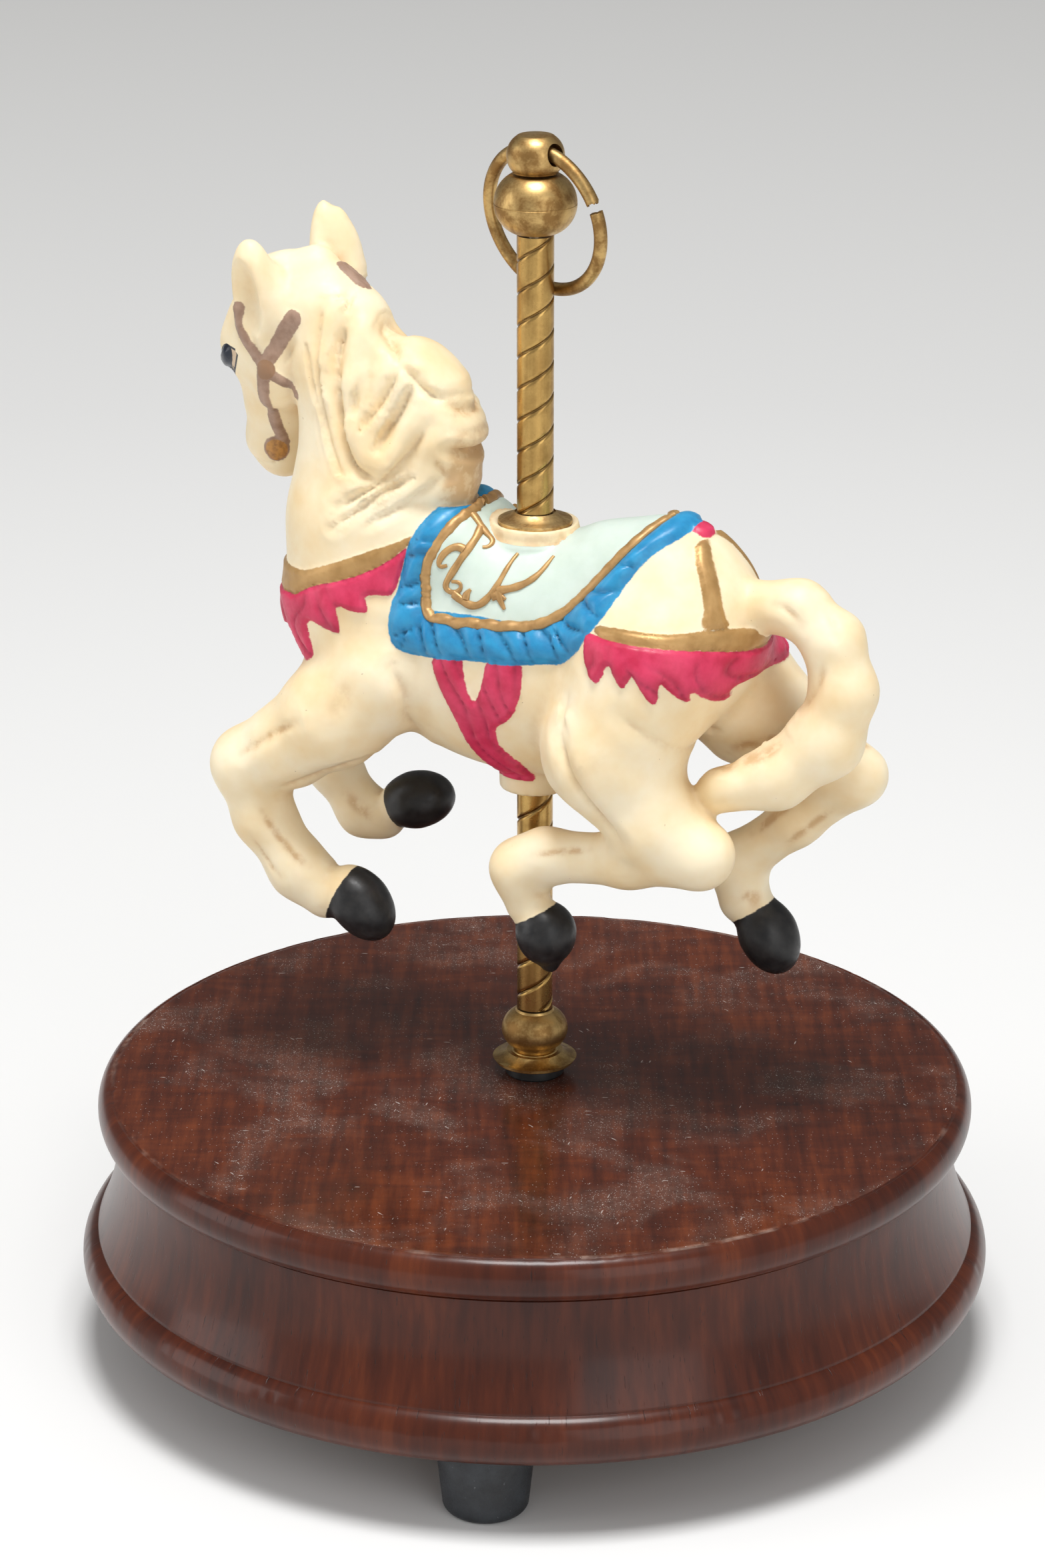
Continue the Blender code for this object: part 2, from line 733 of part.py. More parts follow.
def brass_stack():
    """Flanges, balls, the two lengths of pole, the cap and the rod that ties them together."""
    turned(
        "lower_flange",
        [
            (ROD_BORE_R, FLANGE_Z + 2.3),
            (4.3, FLANGE_Z + 2.3),
            (5.4, FLANGE_Z + 1.7),
            (7.1, FLANGE_Z + 0.8),
            (7.1, FLANGE_Z),
            (ROD_BORE_R, FLANGE_Z),
        ],
        "brass",
        steps=24,
    )
    pierced_ball("lower_ball", BALL_LOW_Z, 1.6, (4.35, 4.0), 4.0, -3.6, 32)
    pole_tube("lower_pole", *LOWER_POLE_Z)
    pole_tube("upper_pole", *UPPER_POLE_Z)
    seat = SADDLE_SEAT_Z + GAP
    turned(
        "saddle_flange",
        [
            (ROD_BORE_R, seat + 1.6),
            (4.0, seat + 1.6),
            (5.2, seat + 1.1),
            (6.5, seat + 0.8),
            (6.5, seat),
            (ROD_BORE_R, seat),
        ],
        "brass",
        steps=24,
    )
    pierced_ball("finial_ball", FINIAL_Z, 1.7, (5.4, 5.5), 4.9, -5.1, 24)
    cap = turned(
        "finial_cap",
        [
            (0.0, CAP_Z + 3.5),
            (3.05, CAP_Z + 3.5),
            *arc((1.65, CAP_Z), (3.3, 3.7), 58, -44, 8),
            (3.9, CAP_Z - 2.9),
            (0.0, CAP_Z - 2.9),
        ],
        "brass",
        steps=24,
        closed=False,
    )
    hole = cylinder("ring_hole", RING_HOLE_R, -8, 8, segments=20)
    hole.matrix_world = (
        Matrix.Translation((0, 0, HOLE_AXIS_Z * MM))
        @ Matrix.Rotation(RING_AZIMUTH, 4, "Z")
        @ Matrix.Rotation(pi / 2, 4, "Y")
    )
    boolean(cap, hole)
    turned(
        "tie_rod",
        [(0.0, CAP_Z - 3.3), (ROD_R, CAP_Z - 3.3), (ROD_R, 44.0), (0.0, 44.0)],
        "steel",
        steps=16,
        closed=False,
    )


def brass_ring():
    """An open ring through the cap's cross hole, leaning on the far side of the pole."""
    along = Vector((cos(RING_AZIMUTH), sin(RING_AZIMUTH), 0))
    side = Vector((-sin(RING_AZIMUTH), cos(RING_AZIMUTH), 0))
    down = Vector((0, 0, -1)) * cos(RING_TILT) + side * sin(RING_TILT)
    centre = Vector((0, 0, RING_TOP_Z)) + down * RING_R
    start, end = RING_GAP[1], RING_GAP[0] + tau
    steps = 36
    points = []
    for step in range(steps + 1):
        angle = start + (end - start) * step / steps
        points.append(centre + (along * cos(angle) + down * sin(angle)) * RING_R)
    wire("brass_ring", points, RING_WIRE_R, "brass")


# ---------------------------------------------------------------- porcelain horse

# The horse is built of chains of (x, y, z, radius): round joints with tapered lengths between.
LIMBS = [
    [
        (-26, -9, 125.5, 11.0), (-33.5, -12, 117.6, 9.4), (-42, -12.6, 111, 7.4), (-50.2, -13, 106.2, 6.4),
        (-47.5, -13, 96.5, 5.1), (-40.5, -13, 87.5, 5.0), (-35, -13, 84, 4.8),
    ],
    [
        (-26, 9, 126, 10.6), (-39, 12, 117, 7.4), (-51, 13, 109, 5.6), (-47, 13, 98, 4.6),
        (-40.8, 13, 89.8, 4.3), (-36.6, 13, 89.4, 4.2),
    ],
    [
        (25.6, -8, 134, 14.2), (20, -12, 119, 11.5), (29, -13, 106.8, 7.4), (37.0, -13, 102.6, 5.5),
        (24, -13, 99.6, 4.5), (8.0, -13, 97.8, 4.5), (3.2, -13, 94.8, 4.8), (4.7, -13, 88.5, 4.0),
    ],
    [
        (26, 8, 134, 13.8), (37, 11, 122, 10.0), (49, 12, 115.6, 6.2), (55.8, 12, 111.8, 5.0),
        (45, 12, 102.0, 4.2), (33.8, 12, 92.2, 4.6), (35.6, 12, 85.6, 4.8),
    ],
]
HOOVES = [
    [(-30.0, -13, 85.0, 5.0), (-28.2, -13, 83.0, 5.3), (-25.6, -13, 80.0, 3.6)],
    [(-32.4, 13, 92.9, 5.0), (-29.6, 13, 93.8, 5.3), (-25.8, 13, 95.0, 3.6)],
    [(7.0, -13, 85.2, 5.0), (8.0, -13, 82.6, 5.3), (9.7, -13, 79.0, 3.6)],
    [(38.8, 12, 82.0, 5.0), (40.2, 12, 79.4, 5.3), (42.0, 12, 75.8, 3.6)],
]
TAIL = [
    (43, 0, 144.2, 4.6), (49.5, 0, 144.8, 4.6), (55.8, -0.5, 140, 5.0), (58.2, -1, 131.5, 5.4),
    (55.4, -2, 122.6, 6.2), (47.8, -5, 116, 5.4), (39, -8, 113.4, 4.2),
]
BACK = [
    (-19, 0, 150.6, 8.2), (-13, 0, 147.8, 8.4), (-7, 0, 143.2, 8.4), (0, 0, 142.0, 8.4), (8, 0, 143.8, 8.4),
    (15, 0, 147.0, 8.4), (27, 0, 148.6, 8.2),
]
NECK = [
    (-30, 0, 139, 17.0), (-31, 0, 152, 14.6), (-31.8, 0, 165, 11.2), (-35.4, 0, 177, 9.0),
    (-40, 0.5, 187, 8.2),
]
CREST = [
    [(-40, -0.5, 189, 6.0), (-34.5, -1.5, 185.6, 6.2), (-30.5, -2, 182.4, 5.6)],
    [(-27, -2, 178.6, 6.6), (-22, -2, 176.0, 7.6), (-18.8, -2, 174.4, 6.6)],
    [(-24, -2, 170.0, 8.0), (-17.0, -2, 168.6, 8.0)],
    [(-23, -2, 163.5, 7.6), (-17.0, -2, 160.8, 6.8)],
]
HEAD = [
    (-49, 2, 187.5, 8.8), (-51, 3, 180.5, 9.4), (-52.2, 5.5, 169.5, 6.1), (-54.3, 8, 161, 5.2),
    (-53.3, 8.5, 158, 4.5),
]
EARS = [
    [(-49.0, -5.0, 190, 4.2), (-50.6, -6.2, 195, 3.8), (-51.2, -6.8, 198.2, 2.2)],
    [(-42.6, 7.6, 192.5, 4.2), (-43.4, 8.0, 198.5, 3.4), (-44, 8.4, 202.5, 1.9)],
]
TRUNK = [
    ((-1, 0, 130), (33, 16.5, 21.5)),
    ((-28, 0, 134), (17, 14.5, 17)),
    ((25.6, 0, 138.6), (17.2, 15.4, 18)),
]
BELLY_CAVITY = ((0, 0, 130), (36, 12.5, 17.5))
SADDLE_BOSS_R = 7.7
SADDLE_RECESS_R = 6.5
BELLY_BOSS_R = 5.25
BELLY_RECESS_R = 5.8
VOXEL = 1.5
KEPT_SHARE = 0.115  # of the faces, once they have been reduced


def add_ball(bm, centre, radii):
    matrix = Matrix.Translation(Vector(centre) * MM) @ Matrix.Diagonal((*radii, 1))
    bmesh.ops.create_uvsphere(bm, u_segments=20, v_segments=12, radius=MM, matrix=matrix)


def add_chain(bm, joints):
    """Balls at the joints, and between them the cones that touch both balls."""
    for x, y, z, radius in joints:
        add_ball(bm, (x, y, z), (radius, radius, radius))
    for (*start, start_r), (*end, end_r) in zip(joints, joints[1:]):
        start, end = Vector(start), Vector(end)
        along = (end - start).normalized()
        lean = (start_r - end_r) / (end - start).length
        rise = sqrt(max(0.0, 1 - lean * lean))
        low, high = start + along * start_r * lean, end + along * end_r * lean
        add_cone(bm, low, high, start_r * rise, end_r * rise, 20)


def make_horse():
    """The hollow porcelain horse, with a seat for the flange on top and a recess for the lower pole."""
    bm = bmesh.new()
    for centre, radii in TRUNK:
        add_ball(bm, centre, radii)
    for chain in (*LIMBS, *HOOVES, TAIL, BACK, NECK, *CREST, HEAD, *EARS):
        add_chain(bm, chain)
    add_cone(bm, (0, 0, 146), (0, 0, SADDLE_SEAT_Z + 1.0), SADDLE_BOSS_R, SADDLE_BOSS_R, 32)
    add_cone(bm, (0, 0, BELLY_BOSS_Z), (0, 0, 116), BELLY_BOSS_R, BELLY_BOSS_R, 32)
    horse = place(mesh_object("horse", bm, 60.0), "bisque")
    remesh = horse.modifiers.new("Merge", "REMESH")
    remesh.mode = "VOXEL"
    remesh.voxel_size = VOXEL * MM
    remesh.use_smooth_shade = True
    reduce = horse.modifiers.new("Reduce", "DECIMATE")
    reduce.ratio = KEPT_SHARE
    cavity = bmesh.new()
    add_ball(cavity, *BELLY_CAVITY)
    boolean(horse, place(mesh_object("horse_cavity", cavity)))
    bore(horse, HORSE_BORE_R, 100, 160, segments=20)
    bore(horse, SADDLE_RECESS_R + GAP, SADDLE_SEAT_Z, 160, segments=32)
    bore(horse, BELLY_RECESS_R, BELLY_BOSS_Z - 2.0, BELLY_BOSS_Z, segments=24)
    return horse


def main():
    cover = make_base()
    movement_plate(cover)
    spring_drive()
    cylinder_train()
    cylinder_bearings()
    music_comb()
    governor()
    brass_stack()
    brass_ring()
    make_horse()


main()
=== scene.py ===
"""The looks of a carousel music box: a turned wooden base, a brass pole and a hand-painted porcelain horse.

Lengths are in millimetres until a mesh is made. +Z is up, the horse faces -X and its near side faces -Y.
"""

import json
from math import ceil, cos, pi, radians, sin, tau

import bmesh
import bpy
import numpy as np
from mathutils import Matrix, Vector
from mathutils.bvhtree import BVHTree


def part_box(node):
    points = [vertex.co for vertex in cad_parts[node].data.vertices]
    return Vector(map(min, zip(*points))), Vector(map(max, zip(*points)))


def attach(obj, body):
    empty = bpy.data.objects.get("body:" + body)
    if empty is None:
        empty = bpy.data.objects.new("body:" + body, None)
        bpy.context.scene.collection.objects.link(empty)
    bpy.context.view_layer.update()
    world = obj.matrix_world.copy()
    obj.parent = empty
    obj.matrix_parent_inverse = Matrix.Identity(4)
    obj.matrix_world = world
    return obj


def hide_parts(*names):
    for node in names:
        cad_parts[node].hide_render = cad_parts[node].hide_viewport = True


MM = 0.001
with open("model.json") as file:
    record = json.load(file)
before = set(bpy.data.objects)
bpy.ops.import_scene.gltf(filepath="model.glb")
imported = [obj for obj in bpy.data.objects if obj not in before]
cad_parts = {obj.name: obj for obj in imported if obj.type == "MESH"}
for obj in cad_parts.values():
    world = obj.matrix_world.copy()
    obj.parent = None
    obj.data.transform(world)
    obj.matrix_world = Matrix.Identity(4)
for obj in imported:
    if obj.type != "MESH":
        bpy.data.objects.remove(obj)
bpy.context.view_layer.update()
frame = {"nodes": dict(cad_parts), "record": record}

# Camera: 100 mm lens, 25 degrees to the right of the horse's near side, looking 20 degrees down.
CAMERA_AZIMUTH = radians(25.0)
CAMERA_PITCH = radians(20.0)
CAMERA_DISTANCE = 0.770
CAMERA_AIM = (-0.0022, 0.1056)  # metres to the right of the axis, and height
CAMERA_LENS = 100.0
CAMERA_SENSOR = 36.0  # long side
LAMP_AIM_HEIGHT = 0.1  # metres
FLOOR_R = 4000.0

# Base
BASE_R = 82.5
BASE_BOTTOM = 13.4
BASE_TOP = 50.3
TOP_CREASE_R = 76.4
TOP_BEAD_R = 78.9
TOP_BEAD_HEIGHT = 7.8
COVE_LOW_Z = 23.2
COVE_FLARE_Z = 39.5
COVE_R = 75.7
COVE_LOW_R = 79.6
CAVITY_R = 54.0
CAVITY_TOP = 41.0
HOLE_R = 5.0
COVER_R = 59.2
COVER_THICK = 3.0
GAP = 0.3
FOOT_R = 8.6
FOOT_LOW_R = 7.4
FOOT_EDGE_R = 1.6
FOOT_RECESS_R = 3.4

# Brass
POLE_R = 3.175
ROD_BORE_R = 1.7
GROOVE_SPACING = 5.6
GROOVE_STARTS = 2
GROOVE_HALF_WIDTH = 0.42
GROOVE_DEPTH = 0.24
GROOVE_FRONT_Z = 202.5  # where a groove crosses the side that faces the camera
FLANGE_Z = 52.7
BALL_LOW_Z = 58.9
LOWER_POLE_Z = (63.2, 104.6)
UPPER_POLE_Z = (155.9, 204.4)
SADDLE_SEAT_Z = 153.9
FINIAL_Z = 209.9
CAP_Z = 218.0
HOLE_AXIS_Z = 218.6
RING_HOLE_R = 1.9
RING_R = 12.6
RING_WIRE_R = 1.15
RING_AZIMUTH = radians(-18.0)
RING_TILT = radians(10.5)
RING_TOP_Z = 219.1
RING_GAP = (radians(-21.5), radians(-14.0))


# ---------------------------------------------------------------- shader writing


class Shader:
    """A material's nodes, written one call at a time. Lengths inside are in millimetres."""

    def __init__(self, name, **settings):
        self.material = bpy.data.materials.new(name)
        self.material.use_nodes = True
        self.tree = self.material.node_tree
        self.surface = self.tree.nodes["Principled BSDF"]
        for key, value in settings.items():
            self.surface.inputs[key.replace("_", " ")].default_value = value
        metres = self.node("ShaderNodeTexCoord").outputs["Object"]
        scaled = self.node("ShaderNodeVectorMath", (metres, (1 / MM,) * 3), operation="MULTIPLY")
        self.place = scaled.outputs[0]

    def node(self, kind, inputs=(), **properties):
        made = self.tree.nodes.new(kind)
        for key, value in properties.items():
            setattr(made, key, value)
        pairs = inputs.items() if isinstance(inputs, dict) else enumerate(inputs)
        for key, value in pairs:
            if isinstance(value, bpy.types.NodeSocket):
                self.tree.links.new(value, made.inputs[key])
            else:
                made.inputs[key].default_value = value
        return made

    def math(self, operation, *values):
        return self.node("ShaderNodeMath", values, operation=operation).outputs[0]

    def plus(self, first, second):
        return self.math("ADD", first, second)

    def minus(self, first, second):
        return self.math("SUBTRACT", first, second)

    def times(self, first, *others):
        for other in others:
            first = self.math("MULTIPLY", first, other)
        return first

    def from_axis(self):
        """x, y, z, and the distance from the Z axis."""
        x, y, z = self.node("ShaderNodeSeparateXYZ", (self.place,)).outputs
        return x, y, z, self.math("SQRT", self.plus(self.times(x, x), self.times(y, y)))

    def stretched(self, scales, turn=0.0):
        """The place, turned about Z and then scaled along each axis."""
        made = self.node("ShaderNodeMapping", {"Vector": self.place}, vector_type="TEXTURE")
        made.inputs["Rotation"].default_value = (0.0, 0.0, turn)
        made.inputs["Scale"].default_value = tuple(1 / s for s in scales)
        return made.outputs[0]

    def noise(self, scale, detail=3.0, vector=None, roughness=0.55, distortion=0.0):
        inputs = {
            "Vector": vector or self.place,
            "Scale": scale,
            "Detail": detail,
            "Roughness": roughness,
            "Distortion": distortion,
        }
        return self.node("ShaderNodeTexNoise", inputs).outputs[0]

    def step(self, value, low, high, out_low=0.0, out_high=1.0):
        """Goes smoothly from out_low to out_high while the value goes from low to high."""
        inputs = {0: value, 1: low, 2: high, 3: out_low, 4: out_high}
        return self.node("ShaderNodeMapRange", inputs, interpolation_type="SMOOTHSTEP").outputs[0]

    def ramp(self, value, *stops):
        made = self.node("ShaderNodeValToRGB", (value,))
        elements = made.color_ramp.elements
        while len(elements) < len(stops):
            elements.new(1.0)
        for element, (position, colour) in zip(elements, stops):
            element.position = position
            element.color = (*colour, 1.0)
        return made.outputs[0]

    def mix(self, share, first, second, blend="MIX"):
        made = self.node("ShaderNodeMix", {0: share}, data_type="RGBA", blend_type=blend)
        for index, colour in ((6, first), (7, second)):
            if isinstance(colour, bpy.types.NodeSocket):
                self.tree.links.new(colour, made.inputs[index])
            else:
                made.inputs[index].default_value = (*colour, 1.0)
        return made.outputs[2]

    def blend(self, share, first, second):
        """Like mix, for plain numbers."""
        return self.node("ShaderNodeMix", {0: share, 2: first, 3: second}, data_type="FLOAT").outputs[0]

    def bump(self, height, distance, strength):
        inputs = {"Height": height, "Distance": distance * MM, "Strength": strength}
        return self.node("ShaderNodeBump", inputs).outputs[0]

    def read(self, attribute):
        return self.node("ShaderNodeAttribute", attribute_name=attribute).outputs["Fac"]

    def link(self, **sockets):
        for key, socket in sockets.items():
            self.tree.links.new(socket, self.surface.inputs[key.replace("_", " ")])
        return self.material


def mahogany_material():
    """Red-brown lacquered wood: streaked grain, pores, a rubbed rim that also carries a painted highlight,
    and dust and lint on top.
    """
    wood = Shader("mahogany_lacquer", Coat_Weight=0.20, Coat_Roughness=0.14, Specular_IOR_Level=0.22)
    x, y, z, radius = wood.from_axis()
    around = wood.node(
        "ShaderNodeCombineXYZ",
        (
            wood.times(wood.math("DIVIDE", x, radius), 80.0),
            wood.times(wood.math("DIVIDE", y, radius), 80.0),
            wood.times(z, 0.16),
        ),
    ).outputs[0]
    on_top = wood.math("GREATER_THAN", z, BASE_TOP - 0.15)
    cloud = wood.noise(0.03, 2.0)
    streak_top = wood.noise(0.55, 4.0, wood.stretched((1.0, 0.10, 1.0), CAMERA_AZIMUTH))
    band_top = wood.noise(0.30, 2.0, wood.stretched((0.25, 1.0, 1.0), CAMERA_AZIMUTH), distortion=0.6)
    streak_side = wood.noise(0.55, 5.0, around)
    figure_top = wood.plus(wood.times(streak_top, 0.65), wood.times(band_top, 0.35))
    flame = wood.step(wood.noise(0.10, 2.0, around, distortion=0.3), 0.35, 0.65, -0.05, 0.07)
    figure_side = wood.plus(wood.step(streak_side, 0.25, 0.75, 0.36, 0.53), flame)
    figure = wood.blend(on_top, figure_side, figure_top)
    figure = wood.plus(wood.times(figure, 0.75), wood.times(cloud, 0.25))
    colour = wood.ramp(
        figure,
        (0.30, (0.021, 0.0046, 0.0030)),
        (0.50, (0.074, 0.0148, 0.0054)),
        (0.68, (0.152, 0.0335, 0.0092)),
    )
    pores = wood.step(wood.noise(2.4, 2.0, around), 0.66, 0.74)
    pores = wood.times(pores, wood.minus(1.0, on_top))
    colour = wood.mix(wood.times(pores, 0.7), colour, (0.014, 0.005, 0.004))
    # Rubbed edges, where the lacquer is gone and the wood is pale; the same pale colour also serves as a
    # painted highlight along the rim's crease.
    off_rim = wood.math("ABSOLUTE", wood.minus(radius, TOP_CREASE_R - 0.1))
    rim = wood.times(
        wood.step(off_rim, 0.15, 0.75, 1.0, 0.0),
        wood.step(z, BASE_TOP - 1.0, BASE_TOP - 0.5),
        wood.step(wood.noise(0.26, 8.0), 0.38, 0.72),
        wood.step(wood.noise(0.06, 3.0), 0.44, 0.62, 0.10, 1.0),
        wood.step(wood.noise(0.022, 2.0), 0.42, 0.58, 0.15, 1.0),
    )
    colour = wood.mix(wood.times(rim, 0.50), colour, (0.52, 0.38, 0.31))
    # Dust: a veil in soft patches, round specks, and short fibres.
    patch = wood.step(wood.noise(0.045, 4.0, distortion=0.5), 0.44, 0.66)
    veil = wood.times(patch, on_top, wood.noise(0.9, 5.0))
    colour = wood.mix(wood.times(veil, 0.14), colour, (0.50, 0.40, 0.34))
    white = (0.74, 0.68, 0.64)
    for scale, size, few, many in (
        (0.85, 0.085, 0.90, 0.50),
        (1.6, 0.15, 0.88, 0.10),
        (2.4, 0.19, 0.90, 0.08),
    ):
        cells = wood.node("ShaderNodeTexVoronoi", {"Vector": wood.place, "Scale": scale})
        chance = wood.node("ShaderNodeSeparateColor", (cells.outputs["Color"],)).outputs[0]
        needed = wood.step(patch, 0.0, 1.0, few, many)
        shown = wood.math("GREATER_THAN", chance, needed)
        speck = wood.step(cells.outputs["Distance"], size * 0.6, size, 1.0, 0.0)
        colour = wood.mix(wood.times(speck, shown, on_top, 0.6), colour, white)
    for turn in (0.4, 1.7, 2.6):
        along = wood.stretched((0.55, 3.2, 1.0), turn)
        curl = wood.node("ShaderNodeVectorMath", (along, wood.noise(0.8, 1.0)), operation="ADD").outputs[0]
        cells = wood.node("ShaderNodeTexVoronoi", {"Vector": curl, "Scale": 0.42})
        chance = wood.node("ShaderNodeSeparateColor", (cells.outputs["Color"],)).outputs[1]
        shown = wood.math("GREATER_THAN", chance, wood.step(patch, 0.0, 1.0, 0.985, 0.90))
        fibre = wood.step(cells.outputs["Distance"], 0.10, 0.17, 1.0, 0.0)
        colour = wood.mix(wood.times(fibre, shown, on_top, 0.45), colour, white)
    roughness = wood.plus(wood.step(veil, 0.0, 0.6, 0.30, 0.55), wood.times(rim, 0.15))
    relief = wood.minus(wood.times(figure, 0.5), pores)
    return wood.link(Base_Color=colour, Roughness=roughness, Normal=wood.bump(relief, 0.12, 0.35))


def brass_material(name, tint, roughness, streaks, dull=0.0):
    """Aged brass: brown patina in patches, rubbed bright spots, and streaks along the pole."""
    brass = Shader(name, Metallic=1.0)
    patina = brass.noise(0.28, 5.0, distortion=0.4)
    fine = brass.noise(2.2, 4.0)
    drawn = brass.noise(1.1, 3.0, brass.stretched((1.0, 1.0, 0.05)))
    value = brass.plus(brass.times(patina, 0.6), brass.times(fine, 0.15))
    value = brass.plus(value, brass.times(drawn, streaks))
    dark = tuple(c * f for c, f in zip(tint, (0.52, 0.44, 0.38)))
    light = tuple(min(1.0, c * 1.22) for c in tint)
    colour = brass.ramp(value, (0.30, dark), (0.42 + streaks / 2, tint), (0.62 + streaks / 2, light))
    spots = brass.step(brass.noise(1.5, 4.0, roughness=0.7), 0.66, 0.74)
    colour = brass.mix(brass.times(spots, 0.55), colour, (0.10, 0.055, 0.025))
    colour = brass.mix(brass.step(brass.read("groove"), 0.1, 0.8, 0.0, 0.75), colour, (0.105, 0.058, 0.022))
    uneven = brass.step(patina, 0.3, 0.7, roughness + 0.10 + dull, roughness)
    rough = brass.plus(uneven, brass.times(spots, 0.15))
    height = brass.plus(brass.times(fine, 0.6), drawn)
    return brass.link(Base_Color=colour, Roughness=rough, Normal=brass.bump(height, 0.03, 0.25))


def rubber_material():
    rubber = Shader("black_rubber", Specular_IOR_Level=0.45)
    grain = rubber.noise(3.0, 5.0)
    colour = rubber.ramp(rubber.noise(0.2, 3.0), (0.3, (0.010, 0.011, 0.013)), (0.7, (0.030, 0.034, 0.040)))
    lint = rubber.step(rubber.noise(1.7, 3.0), 0.70, 0.76)
    colour = rubber.mix(rubber.times(lint, 0.5), colour, (0.22, 0.23, 0.24))
    return rubber.link(
        Base_Color=colour,
        Roughness=rubber.step(grain, 0.3, 0.7, 0.42, 0.58),
        Normal=rubber.bump(grain, 0.05, 0.4),
    )


def plain_material(name, dark, light, metallic, rough, scale=0.8, stretch=(1, 1, 1)):
    """Machined or moulded material with fine brush marks, blotches and uneven gloss."""
    plain = Shader(name, Metallic=metallic)
    blotch = plain.noise(0.22, 4.0)
    marks = plain.noise(scale, 5.0, plain.stretched(stretch))
    value = plain.plus(plain.times(blotch, 0.5), plain.times(marks, 0.5))
    colour = plain.ramp(value, (0.32, dark), (0.68, light))
    return plain.link(
        Base_Color=colour,
        Roughness=plain.step(marks, 0.3, 0.7, rough, rough + 0.16),
        Normal=plain.bump(marks, 0.04, 0.35),
    )


def floor_material():
    floor = Shader("pale_floor", Roughness=0.9, Specular_IOR_Level=0.1)
    radius = floor.from_axis()[-1]
    # Painted light: the floor's colour is darker near the base and lighter far away, in place of the way the
    # light falls across the table and backdrop.
    colour = floor.ramp(
        floor.step(radius, 100.0, 1500.0),
        (0.0, (0.835, 0.835, 0.83)),
        (0.35, (0.845, 0.845, 0.84)),
        (1.0, (0.98, 0.98, 0.97)),
    )
    return floor.link(Base_Color=colour)


# ---------------------------------------------------------------- turned and swept pieces


def mesh_piece(name, vertices, faces, material, sharp_angle=None):
    """A smooth-shaded mesh from vertices in millimetres."""
    mesh = bpy.data.meshes.new(name)
    places = (np.asarray(vertices, float) * MM).tolist()
    mesh.from_pydata(places, [], [tuple(map(int, face)) for face in faces])
    mesh.update()
    mesh.materials.append(material)
    mesh.shade_smooth()
    if sharp_angle is not None:
        mesh.set_sharp_from_angle(angle=radians(sharp_angle))
    piece = bpy.data.objects.new(name, mesh)
    bpy.context.scene.collection.objects.link(piece)
    return piece


def tube_faces(rows, sides):
    """The faces of a tube made of rings of vertices, with its two ends closed."""
    faces = []
    for row in range(0, (rows - 1) * sides, sides):
        for column in range(sides):
            right = (column + 1) % sides
            faces.append((row + column, row + right, row + sides + right, row + sides + column))
    last = (rows - 1) * sides
    faces.append(tuple(range(sides))[::-1])
    faces.append(tuple(last + column for column in range(sides)))
    return faces


def arc(centre, radii, start, end, steps):
    angles = np.radians(np.linspace(start, end, steps + 1))
    return [(centre[0] + radii[0] * cos(a), centre[1] + radii[1] * sin(a)) for a in angles]


def turned(name, profile, material, segments=128, sharp_angle=32.0, at=(0.0, 0.0)):
    """A closed profile of (radius, height) turned about the Z axis through the given point."""
    profile = np.array(profile, float)
    angles = np.arange(segments) * tau / segments
    ring = np.stack([np.cos(angles), np.sin(angles)], 1)
    flat = profile[:, None, :1] * ring[None]
    height = np.repeat(profile[:, None, 1:], segments, axis=1)
    vertices = np.concatenate([flat + np.array(at), height], 2).reshape(-1, 3)
    count = len(profile)
    faces = []
    for row in range(count):
        below = (row + 1) % count
        for column in range(segments):
            right = (column + 1) % segments
            corners = ((row, column), (below, column), (below, right), (row, right))
            faces.append([level * segments + place for level, place in corners])
    piece = mesh_piece(name, vertices, faces, material, sharp_angle)
    tidy = bmesh.new()
    tidy.from_mesh(piece.data)
    bmesh.ops.remove_doubles(tidy, verts=tidy.verts, dist=1e-7)
    bmesh.ops.recalc_face_normals(tidy, faces=tidy.faces)
    tidy.to_mesh(piece.data)
    tidy.free()
    return piece


def swept(name, path, radii, material, sides=16, normals=None, flatten=1.0):
    """A round or flattened tube along a path, with closed ends. radii has one radius for each point."""
    path = np.array(path, float)
    tangents = np.gradient(path, axis=0)
    tangents /= np.linalg.norm(tangents, axis=1)[:, None]
    if normals is None:
        normal = np.cross(tangents[0], (0.31, 0.27, 0.91))
        normals = []
        for tangent in tangents:
            normal = normal - tangent * np.dot(normal, tangent)
            normal /= np.linalg.norm(normal)
            normals.append(normal)
    normals = np.array(normals, float)
    normals -= tangents * (normals * tangents).sum(1)[:, None]
    normals /= np.linalg.norm(normals, axis=1)[:, None]
    across = np.cross(tangents, normals)
    angles = np.arange(sides) * tau / sides
    vertices = []
    for point, normal, side, radius in zip(path, normals, across, radii):
        for angle in angles:
            vertices.append(point + radius * (cos(angle) * side + flatten * sin(angle) * normal))
    return mesh_piece(name, vertices, tube_faces(len(path), sides), material, 50.0)


def smoothed(points, rounds=2, closed=False):
    """The line through the points with its corners cut, again and again."""
    points = np.array(points, float)
    for _ in range(rounds):
        following = np.roll(points, -1, axis=0)
        if not closed:
            points, following, ends = points[:-1], following[:-1], (points[:1], points[-1:])
        cut = np.stack([points * 0.75 + following * 0.25, points * 0.25 + following * 0.75], 1)
        cut = cut.reshape(-1, points.shape[1])
        points = cut if closed else np.concatenate([ends[0], cut, ends[1]])
    return points


def resampled(points, spacing):
    points = np.array(points, float)
    lengths = np.concatenate([[0.0], np.cumsum(np.linalg.norm(np.diff(points, axis=0), axis=1))])
    count = max(3, int(ceil(lengths[-1] / spacing)) + 1)
    wanted = np.linspace(0.0, lengths[-1], count)
    return np.stack([np.interp(wanted, lengths, points[:, axis]) for axis in range(points.shape[1])], 1)


# ---------------------------------------------------------------- base


